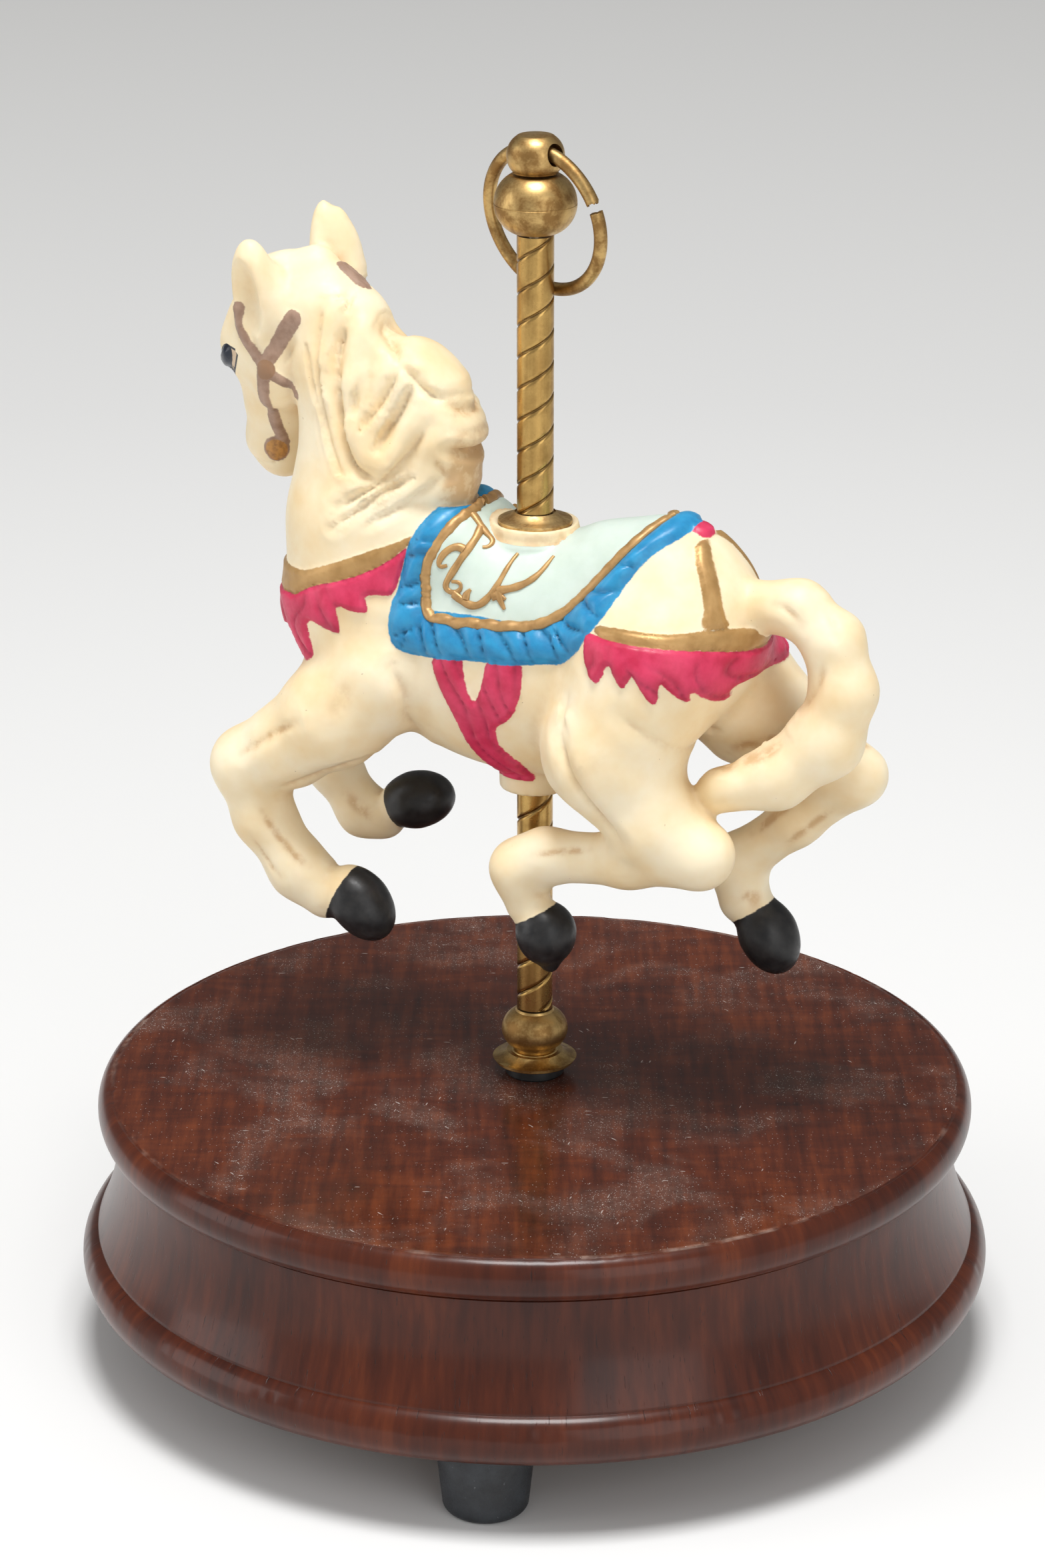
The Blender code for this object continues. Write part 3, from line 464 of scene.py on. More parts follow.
def base_profile():
    """The turned outline with its worn rim, the beads, the cove, and the hollow for the movement."""
    bead_mid = BASE_TOP - TOP_BEAD_HEIGHT / 2
    rim = [
        (TOP_CREASE_R - 0.9, BASE_TOP), (TOP_CREASE_R - 0.35, BASE_TOP - 0.06),
        (TOP_CREASE_R + 0.05, BASE_TOP - 0.28),
    ]
    bead = arc((TOP_BEAD_R - 3.0, bead_mid), (3.0, TOP_BEAD_HEIGHT / 2), 72, -70, 22)
    low = BASE_TOP - TOP_BEAD_HEIGHT
    quirk = [
        (COVE_R + 0.1, low + 0.15), (COVE_R - 0.45, low - 0.1), (COVE_R - 0.45, low - 0.35),
        (COVE_R, low - 0.65),
    ]
    cove = []
    for height in np.linspace(low - 0.9, COVE_LOW_Z + 0.12, 30):
        depth = max(0.0, (COVE_FLARE_Z - height) / (COVE_FLARE_Z - COVE_LOW_Z))
        cove.append((COVE_R + (COVE_LOW_R - COVE_R) * depth**2, height))
    cove.append((COVE_LOW_R + 0.05, COVE_LOW_Z - 0.15))
    low_half = (COVE_LOW_Z - 0.3 - BASE_BOTTOM) / 2
    low_bead = arc((BASE_R - 4.1, BASE_BOTTOM + low_half), (4.1, low_half), 72, -90, 28)
    seat = BASE_BOTTOM + COVER_THICK + GAP
    hollow = [
        (COVER_R + GAP, BASE_BOTTOM),
        (COVER_R + GAP, seat),
        (CAVITY_R, seat),
        (CAVITY_R, CAVITY_TOP),
        (HOLE_R, CAVITY_TOP),
        (HOLE_R, BASE_TOP),
    ]
    top = [(radius, BASE_TOP) for radius in np.linspace(HOLE_R + 6.0, TOP_CREASE_R - 1.6, 12)]
    return top + rim + bead + quirk + cove + low_bead + hollow


def nicked(piece, seed):
    """Small knocks along the rim and the lower bead, pressed a little way into the wood."""
    random = np.random.default_rng(seed)
    count = len(piece.data.vertices)
    place = np.zeros(count * 3)
    piece.data.vertices.foreach_get("co", place)
    place = place.reshape(-1, 3) / MM
    radius = np.hypot(place[:, 0], place[:, 1])
    angle = np.arctan2(place[:, 1], place[:, 0])
    for ring_r, ring_z, reach, deep, knocks in (
        (TOP_CREASE_R - 0.1, BASE_TOP - 0.2, 1.1, 0.14, 120),
        (BASE_R - 0.6, BASE_BOTTOM + 7.0, 1.6, 0.16, 70),
    ):
        near_ring = np.hypot(radius - ring_r, place[:, 2] - ring_z)
        ringed = np.where(near_ring < 2.5)[0]
        for _ in range(knocks):
            where = random.uniform(-pi, pi)
            width = random.uniform(0.35, 1.8)
            along = (angle[ringed] - where + pi) % tau - pi
            away = np.hypot(along * ring_r / width, near_ring[ringed] / reach)
            push = deep * random.uniform(0.3, 1.0) * np.exp(-2.0 * away**2)
            place[ringed, 0] -= np.cos(angle[ringed]) * push
            place[ringed, 1] -= np.sin(angle[ringed]) * push
            place[ringed, 2] -= push * 0.6
    piece.data.vertices.foreach_set("co", (place * MM).ravel())
    piece.data.update()


def make_base(wood, rubber, bush):
    base = turned("turned_base", base_profile(), wood, segments=640)
    nicked(base, 11)
    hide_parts("wooden_base")
    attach(base, "base")
    for index in (1, 2, 3):
        low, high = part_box(f"foot_{index}")
        middle = ((low.x + high.x) / 2 / MM, (low.y + high.y) / 2 / MM)
        profile = [
            (2.0, BASE_BOTTOM - GAP),
            *arc((FOOT_R - 0.5, BASE_BOTTOM - GAP - 0.5), (0.5, 0.5), 90, 0, 4),
            *arc((FOOT_LOW_R - FOOT_EDGE_R, FOOT_EDGE_R), (FOOT_EDGE_R, FOOT_EDGE_R), 0, -90, 10),
            (FOOT_RECESS_R, 0.0),
            (FOOT_RECESS_R, 6.0),
            (2.0, 6.0),
        ]
        foot = turned(f"rubber_foot_{index}", profile, rubber, segments=96, at=middle)
        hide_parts(f"foot_{index}")
        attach(foot, "base")
    bush_top = BASE_TOP + 1.9
    profile = [
        (3.5, bush_top - 0.2),
        (3.8, bush_top),
        *arc((4.9, bush_top - 0.4), (0.4, 0.4), 90, 0, 4),
        (5.3, BASE_TOP + GAP),
        (HOLE_R - GAP, BASE_TOP + GAP),
        (HOLE_R - GAP, CAVITY_TOP - 1.0),
        (3.5, CAVITY_TOP - 1.0),
    ]
    collar = turned("bush_collar", profile, bush, segments=96)
    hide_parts("pole_bush")
    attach(collar, "base")


# ---------------------------------------------------------------- brass pole


def spiral_pole(name, low, high, material):
    """A tube with two spiral grooves. Its rows of vertices follow the grooves."""
    columns = 96
    lead = GROOVE_SPACING * GROOVE_STARTS
    offsets = [-0.42, -0.33, -0.20, -0.08, 0.0, 0.08, 0.20, 0.33, 0.42, 0.9, 1.8, 2.8, 3.8, 4.7]
    first = int((low - lead - GROOVE_FRONT_Z) / GROOVE_SPACING) - 1
    last = int((high - GROOVE_FRONT_Z) / GROOVE_SPACING) + 2
    front = CAMERA_AZIMUTH - pi / 2
    vertices = []
    for turn in range(first, last):
        for offset in offsets:
            depth = GROOVE_DEPTH * max(0.0, 1 - (offset / GROOVE_HALF_WIDTH) ** 2) ** 1.5
            for column in range(columns + 1):
                angle = tau * column / columns
                climb = lead * (angle / tau)
                height = GROOVE_FRONT_Z + turn * GROOVE_SPACING + offset + climb
                inside = low < height < high
                radius = POLE_R - (depth if inside else 0.0)
                height = min(max(height, low), high)
                vertices.append((radius * cos(angle + front), radius * sin(angle + front), height))
    rows = (last - first) * len(offsets)
    width = columns + 1
    faces = []
    for row in range(rows - 1):
        for column in range(columns):
            corner = row * width + column
            quad = (corner, corner + 1, corner + width + 1, corner + width)
            heights = [vertices[index][2] for index in quad]
            if max(heights) > min(heights):
                faces.append(quad)
    piece = mesh_piece(name, vertices, faces, material)
    tube = bmesh.new()
    tube.from_mesh(piece.data)
    bmesh.ops.remove_doubles(tube, verts=tube.verts, dist=2e-6)
    bmesh.ops.delete(tube, geom=[v for v in tube.verts if not v.link_faces], context="VERTS")
    bmesh.ops.dissolve_degenerate(tube, edges=tube.edges, dist=1e-6)
    rims = [edge for edge in tube.edges if edge.is_boundary]
    grown = bmesh.ops.extrude_edge_only(tube, edges=rims)["geom"]
    inner = [item for item in grown if isinstance(item, bmesh.types.BMVert)]
    for vertex in inner:
        shrink = ROD_BORE_R * MM / max(1e-9, vertex.co.xy.length)
        vertex.co.x *= shrink
        vertex.co.y *= shrink
    bridges = [item for item in grown if isinstance(item, bmesh.types.BMEdge) and item.is_boundary]
    bmesh.ops.bridge_loops(tube, edges=bridges)
    bmesh.ops.recalc_face_normals(tube, faces=tube.faces)
    tube.to_mesh(piece.data)
    tube.free()
    piece.data.shade_smooth()
    piece.data.set_sharp_from_angle(angle=radians(45))
    groove = piece.data.attributes.new("groove", "FLOAT", "POINT")
    for vertex, value in zip(piece.data.vertices, groove.data):
        sunk = POLE_R - vertex.co.xy.length / MM
        value.value = min(1.0, sunk / GROOVE_DEPTH) if sunk < POLE_R - ROD_BORE_R - 0.1 else 0.0
    return piece


def bored(piece, radius, length, middle, turn):
    """Cuts a round hole through the piece along a level axis."""
    bpy.ops.mesh.primitive_cylinder_add(vertices=64, radius=radius * MM, depth=length * MM)
    tool = bpy.context.object
    level = Matrix.Rotation(turn, 4, "Z") @ Matrix.Rotation(pi / 2, 4, "Y")
    tool.matrix_world = Matrix.Translation(Vector(middle) * MM) @ level
    cut = piece.modifiers.new("Hole", "BOOLEAN")
    cut.object = tool
    cut.solver = "EXACT"
    bpy.context.view_layer.update()
    holed = piece.evaluated_get(bpy.context.evaluated_depsgraph_get())
    shaped = bpy.data.meshes.new_from_object(holed)
    piece.modifiers.clear()
    piece.data = shaped
    shaped.shade_smooth()
    shaped.set_sharp_from_angle(angle=radians(32))
    bpy.data.objects.remove(tool)


def make_pole(pole, duller, matt, polished):
    seat = SADDLE_SEAT_Z
    flange_low = [
        (ROD_BORE_R, FLANGE_Z + 2.3),
        *arc((3.7, FLANGE_Z + 1.9), (0.5, 0.4), 90, 20, 4),
        *arc((8.2, FLANGE_Z + 5.2), (4.6, 4.4), 226, 262, 10),
        (7.1, FLANGE_Z + 0.62),
        (7.1, FLANGE_Z + 0.12),
        (7.0, FLANGE_Z),
        (ROD_BORE_R, FLANGE_Z),
    ]
    flange_saddle = [
        (ROD_BORE_R, seat + 1.6),
        (3.6, seat + 1.6),
        *arc((6.3, seat + 4.3), (3.7, 3.5), 222, 262, 10),
        (6.42, seat + 0.62),
        (6.5, seat + 0.3),
        (6.45, seat),
        (ROD_BORE_R, seat),
    ]
    ball_low = [
        (ROD_BORE_R, BALL_LOW_Z + 4.0),
        (3.3, BALL_LOW_Z + 4.0),
        *arc((1.6, BALL_LOW_Z), (4.35, 4.0), 64, -64, 44),
        (3.45, BALL_LOW_Z - 3.9),
        (ROD_BORE_R, BALL_LOW_Z - 3.9),
    ]
    ball_high = arc((1.7, FINIAL_Z), (5.4, 5.5), 60, 1.2, 30)
    ball_seam = [(7.03, FINIAL_Z + 0.06), (7.03, FINIAL_Z - 0.06)]
    ball_under = arc((1.7, FINIAL_Z), (5.4, 5.5), -1.2, -66, 32)
    ball = [(ROD_BORE_R, FINIAL_Z + 4.9), *ball_high, *ball_seam, *ball_under, (ROD_BORE_R, FINIAL_Z - 5.1)]
    cap = [
        (0.01, CAP_Z + 3.5),
        (2.85, CAP_Z + 3.5),
        (3.12, CAP_Z + 3.38),
        *arc((1.65, CAP_Z), (3.3, 3.7), 57, -44, 36),
        (3.75, CAP_Z - 2.75),
        (3.9, CAP_Z - 2.9),
        (0.01, CAP_Z - 2.9),
    ]
    for name, node, profile, material in (
        ("spun_lower_flange", "lower_flange", flange_low, polished),
        ("spun_saddle_flange", "saddle_flange", flange_saddle, matt),
        ("spun_lower_ball", "lower_ball", ball_low, duller),
        ("spun_finial_ball", "finial_ball", ball, duller),
        ("spun_finial_cap", "finial_cap", cap, duller),
    ):
        piece = turned(name, profile, material, segments=160)
        if node == "finial_cap":
            bored(piece, RING_HOLE_R, 16.0, (0, 0, HOLE_AXIS_Z), RING_AZIMUTH)
        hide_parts(node)
        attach(piece, "carousel")
    for name, node, heights in (
        ("grooved_lower_pole", "lower_pole", LOWER_POLE_Z),
        ("grooved_upper_pole", "upper_pole", UPPER_POLE_Z),
    ):
        piece = spiral_pole(name, *heights, pole)
        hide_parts(node)
        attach(piece, "carousel")


def make_ring(brass):
    """The broken ring through the cap: a bent tube, clean at its upper end and torn at the lower."""
    along = np.array((cos(RING_AZIMUTH), sin(RING_AZIMUTH), 0.0))
    side = np.array((-sin(RING_AZIMUTH), cos(RING_AZIMUTH), 0.0))
    down = np.array((0.0, 0.0, -1.0)) * cos(RING_TILT) + side * sin(RING_TILT)
    out = np.cross(along, down)
    centre = np.array((0.0, 0.0, RING_TOP_Z)) + down * RING_R
    start, end = RING_GAP[1], RING_GAP[0] + tau
    sides = 40
    random = np.random.default_rng(5)
    three_times = np.tile(random.uniform(-1, 1, sides), 3)
    ragged = np.convolve(three_times, (0.25, 0.5, 0.25), "same")[sides : 2 * sides]
    rows = [(angle, RING_WIRE_R, 0.0) for angle in np.linspace(start, end, 240)]
    inner = RING_WIRE_R * 0.58
    rows = [(start + 0.05, 0.06, 0.0), (start + 0.05, inner, 0.0), (start, inner + 0.1, 0.5), *rows]
    rows += [(end, inner + 0.1, 0.5), (end - 0.09, inner, 0.0), (end - 0.09, 0.06, 0.0)]
    vertices = []
    for angle, radius, rag in rows:
        near_start = max(0.0, 1 - abs(angle - start) / 0.03)
        near_end = max(0.0, 1 - abs(angle - end) / 0.05)
        for column in range(sides):
            turn = tau * column / sides
            shift = (near_end * 0.030 + near_start * 0.012) * ragged[column] * (1.0 + rag * 0.4)
            spin = angle + shift
            outward = along * cos(spin) + down * sin(spin)
            wobble = radius * (1 + 0.012 * sin(3 * turn + 5 * angle))
            vertices.append(centre + outward * (RING_R + wobble * cos(turn)) + out * wobble * sin(turn))
    ring = mesh_piece("torn_ring", vertices, tube_faces(len(rows), sides), brass, 45.0)
    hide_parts("brass_ring")
    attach(ring, "ring")


# ---------------------------------------------------------------- porcelain horse: its shape

VOXEL = 0.60
FAR = 6.0

# Every limb is a chain of (x, y, z, radius).
LIMBS = {
    "near_fore": [
        (-26, -9, 125.5, 11.0), (-33.5, -12, 117.6, 9.4), (-42, -12.6, 111, 7.4),
        (-50.2, -13, 106.2, 6.4), (-47.5, -13, 96.5, 5.1), (-40.5, -13, 87.5, 5.0), (-35, -13, 84, 4.8),
    ],
    "far_fore": [
        (-26, 9, 126, 10.6), (-39, 12, 117, 7.4), (-51, 13, 109, 5.6), (-47, 13, 98, 4.6),
        (-40.8, 13, 89.8, 4.3), (-36.6, 13, 89.4, 4.2),
    ],
    "near_hind": [
        (25.6, -8, 134, 14.2), (20, -12, 119, 11.5), (29, -13, 106.8, 7.4), (37.0, -13, 102.6, 5.5),
        (24, -13, 99.6, 4.5), (8.0, -13, 97.8, 4.5), (3.2, -13, 94.8, 4.8), (4.7, -13, 88.5, 4.0),
    ],
    "far_hind": [
        (26, 8, 134, 13.8), (37, 11, 122, 10.0), (49, 12, 115.6, 6.2), (55.8, 12, 111.8, 5.0),
        (45, 12, 102.0, 4.2), (33.8, 12, 92.2, 4.6), (35.6, 12, 85.6, 4.8),
    ],
}
# Each hoof: where it starts, its middle, the way it points, and the way its painted edge faces.
HOOVES = {
    "near_fore": ((-31.6, -13, 85.0), (-28.2, -13, 83.0), (0.66, 0.0, -0.75), (0.90, 0.0, -0.44)),
    "far_fore": ((-33.4, 13, 91.0), (-29.6, 13, 93.8), (0.95, 0.0, 0.30), (0.92, 0.0, 0.40)),
    "near_hind": ((5.6, -13, 86.6), (8.2, -13, 83.4), (0.14, 0.0, -0.99), (0.50, 0.0, -0.87)),
    "far_hind": ((36.6, 12, 83.4), (40.2, 12, 79.4), (0.46, 0.0, -0.89), (0.55, 0.0, -0.84)),
}
HOOF_RADII = (5.3, 5.5)  # across the hoof, and front to back
# Half of each hoof's length, how far its toe reaches from its middle, and the toe's radius.
HOOF_SHAPES = {
    "near_fore": (7.6, 3.4, 3.4),
    "far_fore": (7.4, 3.2, 3.3),
    "near_hind": (5.8, 5.6, 1.8),
    "far_hind": (7.4, 3.6, 3.2),
}
TAIL = [
    (43, 0, 144.2, 4.6), (49.5, 0, 144.8, 4.6), (55.8, -0.5, 140.0, 5.0), (58.2, -1, 131.5, 5.4),
    (55.4, -2, 122.6, 6.2), (47.8, -5, 116, 5.4), (39, -8, 113.4, 4.2),
]
BACK = [
    [
        (-19, side, 150.6, 7.0), (-13, side, 147.8, 7.2), (-7, side, 143.2, 7.2), (0, side, 141.6, 7.2),
        (8, side, 142.3, 7.3),
    ]
    for side in (-4.0, 4.0)
]
LOINS = [(9, 0, 143.3, 7.8), (15, 0, 145.8, 8.2), (27, 0, 148.4, 8.2)]
NECK = [
    (-30, 0, 139, 17.0), (-31, 0, 152, 14.6), (-31.8, 0, 165, 11.2), (-35.4, 0, 177, 9.0),
    (-40, 0.5, 187, 8.2),
]
CREST = [
    [(-40, -0.5, 189, 6.0), (-34.5, -1.5, 185.6, 6.2), (-30.5, -2, 182.4, 5.6)],
    [(-27, -2, 178.6, 6.6), (-22, -2, 176.4, 7.6), (-18.6, -2, 175.0, 7.0)],
    [(-24, -2, 170, 8.0), (-18.4, -2, 169.4, 8.2), (-17.2, -2, 168.6, 7.8)],
    [(-23, -2, 163.5, 7.6), (-18.0, -2, 162.4, 7.2), (-17.0, -2, 160.8, 6.8)],
]
HEAD = [
    (-49, 2, 187.5, 8.8), (-51, 3, 180.5, 9.4), (-52.2, 5.5, 169.5, 6.1), (-54.3, 8, 161, 5.2),
    (-53.3, 8.5, 158, 4.5),
]
TRUNK = [
    ((-1, 0, 130), (33, 16.5, 21.5)),
    ((-28.0, 0, 134), (17.0, 14.5, 17)),
    ((25.6, 0, 138.6), (17.2, 15.4, 18.0)),
]
# Big locks of the mane on the near side; the far side has the same, mirrored.
LOCKS = [
    [(-37.2, -4.5, 189, 2.6), (-35.6, -7.4, 181, 2.5), (-34.9, -9.0, 174, 2.3), (-33.2, -10.2, 166, 1.6)],
    [(-30.6, -5.0, 185, 3.2), (-30.4, -7.6, 177, 3.4), (-29.6, -9.4, 169, 3.2), (-27.8, -10.6, 163.6, 2.4)],
    [(-24.2, -5.4, 178.5, 3.2), (-25.8, -8.0, 172, 3.0), (-26.2, -9.6, 166, 2.4), (-25.4, -10.8, 161, 1.6)],
    [
        (-18.8, -5.6, 172.5, 3.4), (-22.0, -8.4, 166, 3.0), (-25.2, -10.8, 159.5, 2.2),
        (-28.4, -12.4, 155.5, 1.4),
    ],
    [(-15.8, -5.4, 164.5, 3.2), (-19.4, -8.0, 160, 2.6), (-23.8, -10.8, 155.6, 1.7)],
]
HEAD_MIDDLE = np.array((-51.0, 3.0, 181.0))
HEAD_SIDE = np.array((-0.337, -0.925, -0.172))  # points to the near cheek


def across_head(points):
    """The same points on the other cheek."""
    points = np.array(points, float)
    away = (points - HEAD_MIDDLE) @ HEAD_SIDE
    return points - 2 * away[..., None] * HEAD_SIDE


def smooth_min(a, b, blend):
    overlap = np.maximum(blend - np.abs(a - b), 0.0) / blend
    return np.minimum(a, b) - overlap * overlap * blend * 0.25


def bone(first, second):
    """The distance to a tapered round bar, and the box that holds it."""
    a, ra = np.array(first[:3], np.float32), first[3]
    b, rb = np.array(second[:3], np.float32), second[3]
    d = b - a
    length = max(float(d @ d), 1e-6)

    def distance(x, y, z):
        t = np.clip(((x - a[0]) * d[0] + (y - a[1]) * d[1] + (z - a[2]) * d[2]) / length, 0.0, 1.0)
        gap = (x - a[0] - t * d[0]) ** 2 + (y - a[1] - t * d[1]) ** 2 + (z - a[2] - t * d[2]) ** 2
        return np.sqrt(gap) - (ra + t * (rb - ra))

    reach = max(ra, rb)
    return distance, np.minimum(a, b) - reach, np.maximum(a, b) + reach


def egg(centre, radii, axis=None, roll=0.0):
    """The distance to an ellipsoid whose first radius lies along the axis."""
    centre = np.array(centre, np.float32)
    frame_axes = np.eye(3)
    if axis is not None:
        first = Vector(axis).normalized()
        turn = first.to_track_quat("X", "Y").to_matrix() @ Matrix.Rotation(roll, 3, "X")
        frame_axes = np.array(turn).T
    rx, ry, rz = radii

    def distance(x, y, z):
        u, v, w = x - centre[0], y - centre[1], z - centre[2]
        p = frame_axes[0, 0] * u + frame_axes[0, 1] * v + frame_axes[0, 2] * w
        q = frame_axes[1, 0] * u + frame_axes[1, 1] * v + frame_axes[1, 2] * w
        r = frame_axes[2, 0] * u + frame_axes[2, 1] * v + frame_axes[2, 2] * w
        k0 = np.sqrt((p / rx) ** 2 + (q / ry) ** 2 + (r / rz) ** 2)
        k1 = np.sqrt((p / rx**2) ** 2 + (q / ry**2) ** 2 + (r / rz**2) ** 2)
        return k0 * (k0 - 1.0) / np.maximum(k1, 1e-6)

    reach = max(radii)
    return distance, centre - reach, centre + reach


def rod(radius, low, high):
    """The distance to an upright cylinder on the pole's axis."""

    def distance(x, y, z):
        return np.maximum(np.hypot(x, y) - radius + 0 * z, np.maximum(low - z, z - high))

    return distance, np.array((-radius, -radius, low)), np.array((radius, radius, high))


class Clay:
    """A block of voxels that holds the distance to a surface."""

    def __init__(self, low, high):
        self.low = np.array(low, np.float32)
        self.size = np.ceil((np.array(high) - self.low) / VOXEL).astype(int) + 1
        self.field = np.full(self.size, FAR, np.float32)

    def blend(self, shape, width, carve=False):
        """Adds a shape, or carves it away, with a fillet of about the given width."""
        distance, low, high = shape
        margin = width + 3.0
        first = np.clip(((low - margin - self.low) / VOXEL).astype(int), 0, self.size - 1)
        last = np.clip(((high + margin - self.low) / VOXEL).astype(int) + 2, 1, self.size)
        window = tuple(slice(a, b) for a, b in zip(first, last))
        axes = [self.low[i] + VOXEL * np.arange(first[i], last[i], dtype=np.float32) for i in range(3)]
        there = distance(axes[0][:, None, None], axes[1][None, :, None], axes[2][None, None, :])
        if carve:
            self.field[window] = -smooth_min(-self.field[window], there, width)
        else:
            self.field[window] = smooth_min(self.field[window], there, width)

    def chain(self, joints, width, carve=False):
        for first, second in zip(joints, joints[1:]):
            self.blend(bone(first, second), width, carve)

    def sample(self, field, points):
        """A field's values between the voxels."""
        place = np.clip((points - self.low) / VOXEL, 0, np.array(self.size) - 1.001)
        base = place.astype(int)
        part = place - base
        total = np.zeros(len(points))
        for corner in np.ndindex(2, 2, 2):
            index = base + corner
            weight = np.prod(np.where(corner, part, 1 - part), axis=1)
            total += weight * field[index[:, 0], index[:, 1], index[:, 2]]
        return total

    def skin(self):
        """The surface as vertices and quads: one vertex for each voxel that the surface crosses."""
        field = self.field
        inside = field < 0
        cells = tuple(n - 1 for n in field.shape)
        count = np.zeros(cells, np.uint8)
        for i, j, k in np.ndindex(2, 2, 2):
            count += inside[i : i + cells[0], j : j + cells[1], k : k + cells[2]]
        active = np.argwhere((count > 0) & (count < 8))
        number = np.full(cells, -1, np.int64)
        number[tuple(active.T)] = np.arange(len(active))
        corners = {c: field[tuple((active + c).T)] for c in np.ndindex(2, 2, 2)}
        total = np.zeros((len(active), 3))
        crossings = np.zeros(len(active))
        for c in corners:
            for axis in range(3):
                if c[axis]:
                    continue
                far = tuple(1 if i == axis else c[i] for i in range(3))
                a, b = corners[c], corners[far]
                cut = (a < 0) != (b < 0)
                t = np.where(cut, a / np.where(cut, a - b, 1), 0)
                spot = np.tile(np.array(c, float), (len(active), 1))
                spot[:, axis] += t
                total += np.where(cut[:, None], spot, 0)
                crossings += cut
        vertices = self.low + VOXEL * (active + total / crossings[:, None])
        quads = []
        for axis in range(3):
            u, v = (axis + 1) % 3, (axis + 2) % 3
            near = [slice(1, n - 1) for n in field.shape]
            beyond = list(near)
            near[axis], beyond[axis] = slice(0, cells[axis]), slice(1, None)
            here, there = inside[tuple(near)], inside[tuple(beyond)]
            edges = np.argwhere(here != there)
            leaving = here[tuple(edges.T)]
            edges[:, u] += 1
            edges[:, v] += 1
            ring = []
            for du, dv in ((-1, -1), (0, -1), (0, 0), (-1, 0)):
                cell = edges.copy()
                cell[:, u] += du
                cell[:, v] += dv
                ring.append(number[tuple(cell.T)])
            ring = np.stack(ring, 1)
            ring[~leaving] = ring[~leaving][:, ::-1]
            quads.append(ring)
        return vertices, np.concatenate(quads)


def shape_horse():
    """The modelled horse without its tack."""
    clay = Clay((-66, -26, 69), (67, 26, 208))
    for centre, radii in TRUNK:
        clay.blend(egg(centre, radii), 5.0)
    for joints in (*BACK, LOINS):
        clay.chain(joints, 4.0)
    clay.chain(NECK, 5.0)
    for joints in LIMBS.values():
        clay.chain(joints, 3.0)
    for name, (_, middle, pointing, _) in HOOVES.items():
        length, toe_reach, toe_r = HOOF_SHAPES[name]
        clay.blend(egg(middle, (length, *HOOF_RADII), pointing), 1.0)
        toe = Vector(middle) + Vector(pointing) * toe_reach
        clay.blend(bone((*middle, 4.9), (*toe, toe_r)), 1.0)
    clay.chain(TAIL, 2.5)
    shape_head(clay)
    for lump in CREST:
        clay.chain(lump, 2.0)
    for lock in LOCKS:
        clay.chain(lock, 1.4)
        clay.chain([(x, -y, z, r) for x, y, z, r in lock[1:]], 1.4)
    clay.blend(rod(7.7, 146.0, 154.3), 0.7)
    clay.blend(rod(6.75, SADDLE_SEAT_Z - GAP, 170.0), 0.3, carve=True)
    clay.blend(rod(6.3, 105.2, 116.0), 0.6)
    clay.blend(rod(2.2, 90.0, 170.0), 0.1, carve=True)
    return clay


def shape_head(clay):
    """Head, forelock and ears. The head is turned a little away from the near side."""
    clay.chain(HEAD, 3.0)
    near = [
        (egg((-48.2, -1.6, 176.5), (7.4, 5.2, 6.4), (0.1, 0.0, 1.0)), 2.0),
        (egg((-56.0, -0.8, 179.6), (4.2, 3.0, 3.9)), 1.8),
    ]
    for shape, width in near:
        clay.blend(shape, width)
    for centre, radii in (((-45.0, 6.8, 177.5), (6.0, 4.6, 7.0)), ((-53.8, 7.6, 182.0), (3.6, 3.0, 3.4))):
        clay.blend(egg(centre, radii), 2.0)
    clay.chain([(-47, 1, 192.8, 4.0), (-43, 2, 194.2, 3.4), (-40, 0, 192.4, 3.4)], 2.0)
    clay.chain([(-49, -1, 192.8, 3.2), (-54, 1, 190.0, 2.2), (-56.5, 3, 186.5, 1.2)], 1.2)
    lean = (-0.08, -0.10, 1.0)
    clay.blend(egg((-50.5, -6.4, 190.2), (10.2, 4.1, 4.6), lean), 1.6)
    clay.chain([(-49.4, -6.0, 193.6, 2.6), (-46.4, -4.0, 187.6, 4.4)], 1.6)
    clay.blend(egg((-51.9, -11.0, 189.2), (8.8, 4.0, 4.0), lean), 0.5, carve=True)
    lean_far = (-0.10, 0.06, 1.0)
    clay.blend(egg((-43.6, 7.6, 193.6), (11.2, 3.2, 3.2), lean_far), 1.2)
    clay.blend(egg((-41.4, 8.6, 192.8), (10.8, 3.2, 3.2), lean_far), 1.2)
    clay.blend(egg((-40.0, 9.0, 191.0), (9.6, 3.0, 3.0), lean_far), 1.2)
    clay.blend(egg((-46.2, 10.8, 194.4), (7.6, 2.2, 2.6), lean_far), 0.5, carve=True)
    for nostril in ((-57.6, 6.2, 159.6), (-56.0, 11.2, 159.8)):
        clay.blend(egg(nostril, (1.3, 0.9, 1.6)), 0.6, carve=True)
    mouth = [(-58.5, 5.0, 157.2, 0.35), (-54.5, 4.2, 157.4, 0.35), (-51.0, 3.8, 158.6, 0.3)]
    clay.chain(mouth, 0.5, carve=True)


# ---------------------------------------------------------------- porcelain horse: its painted tack

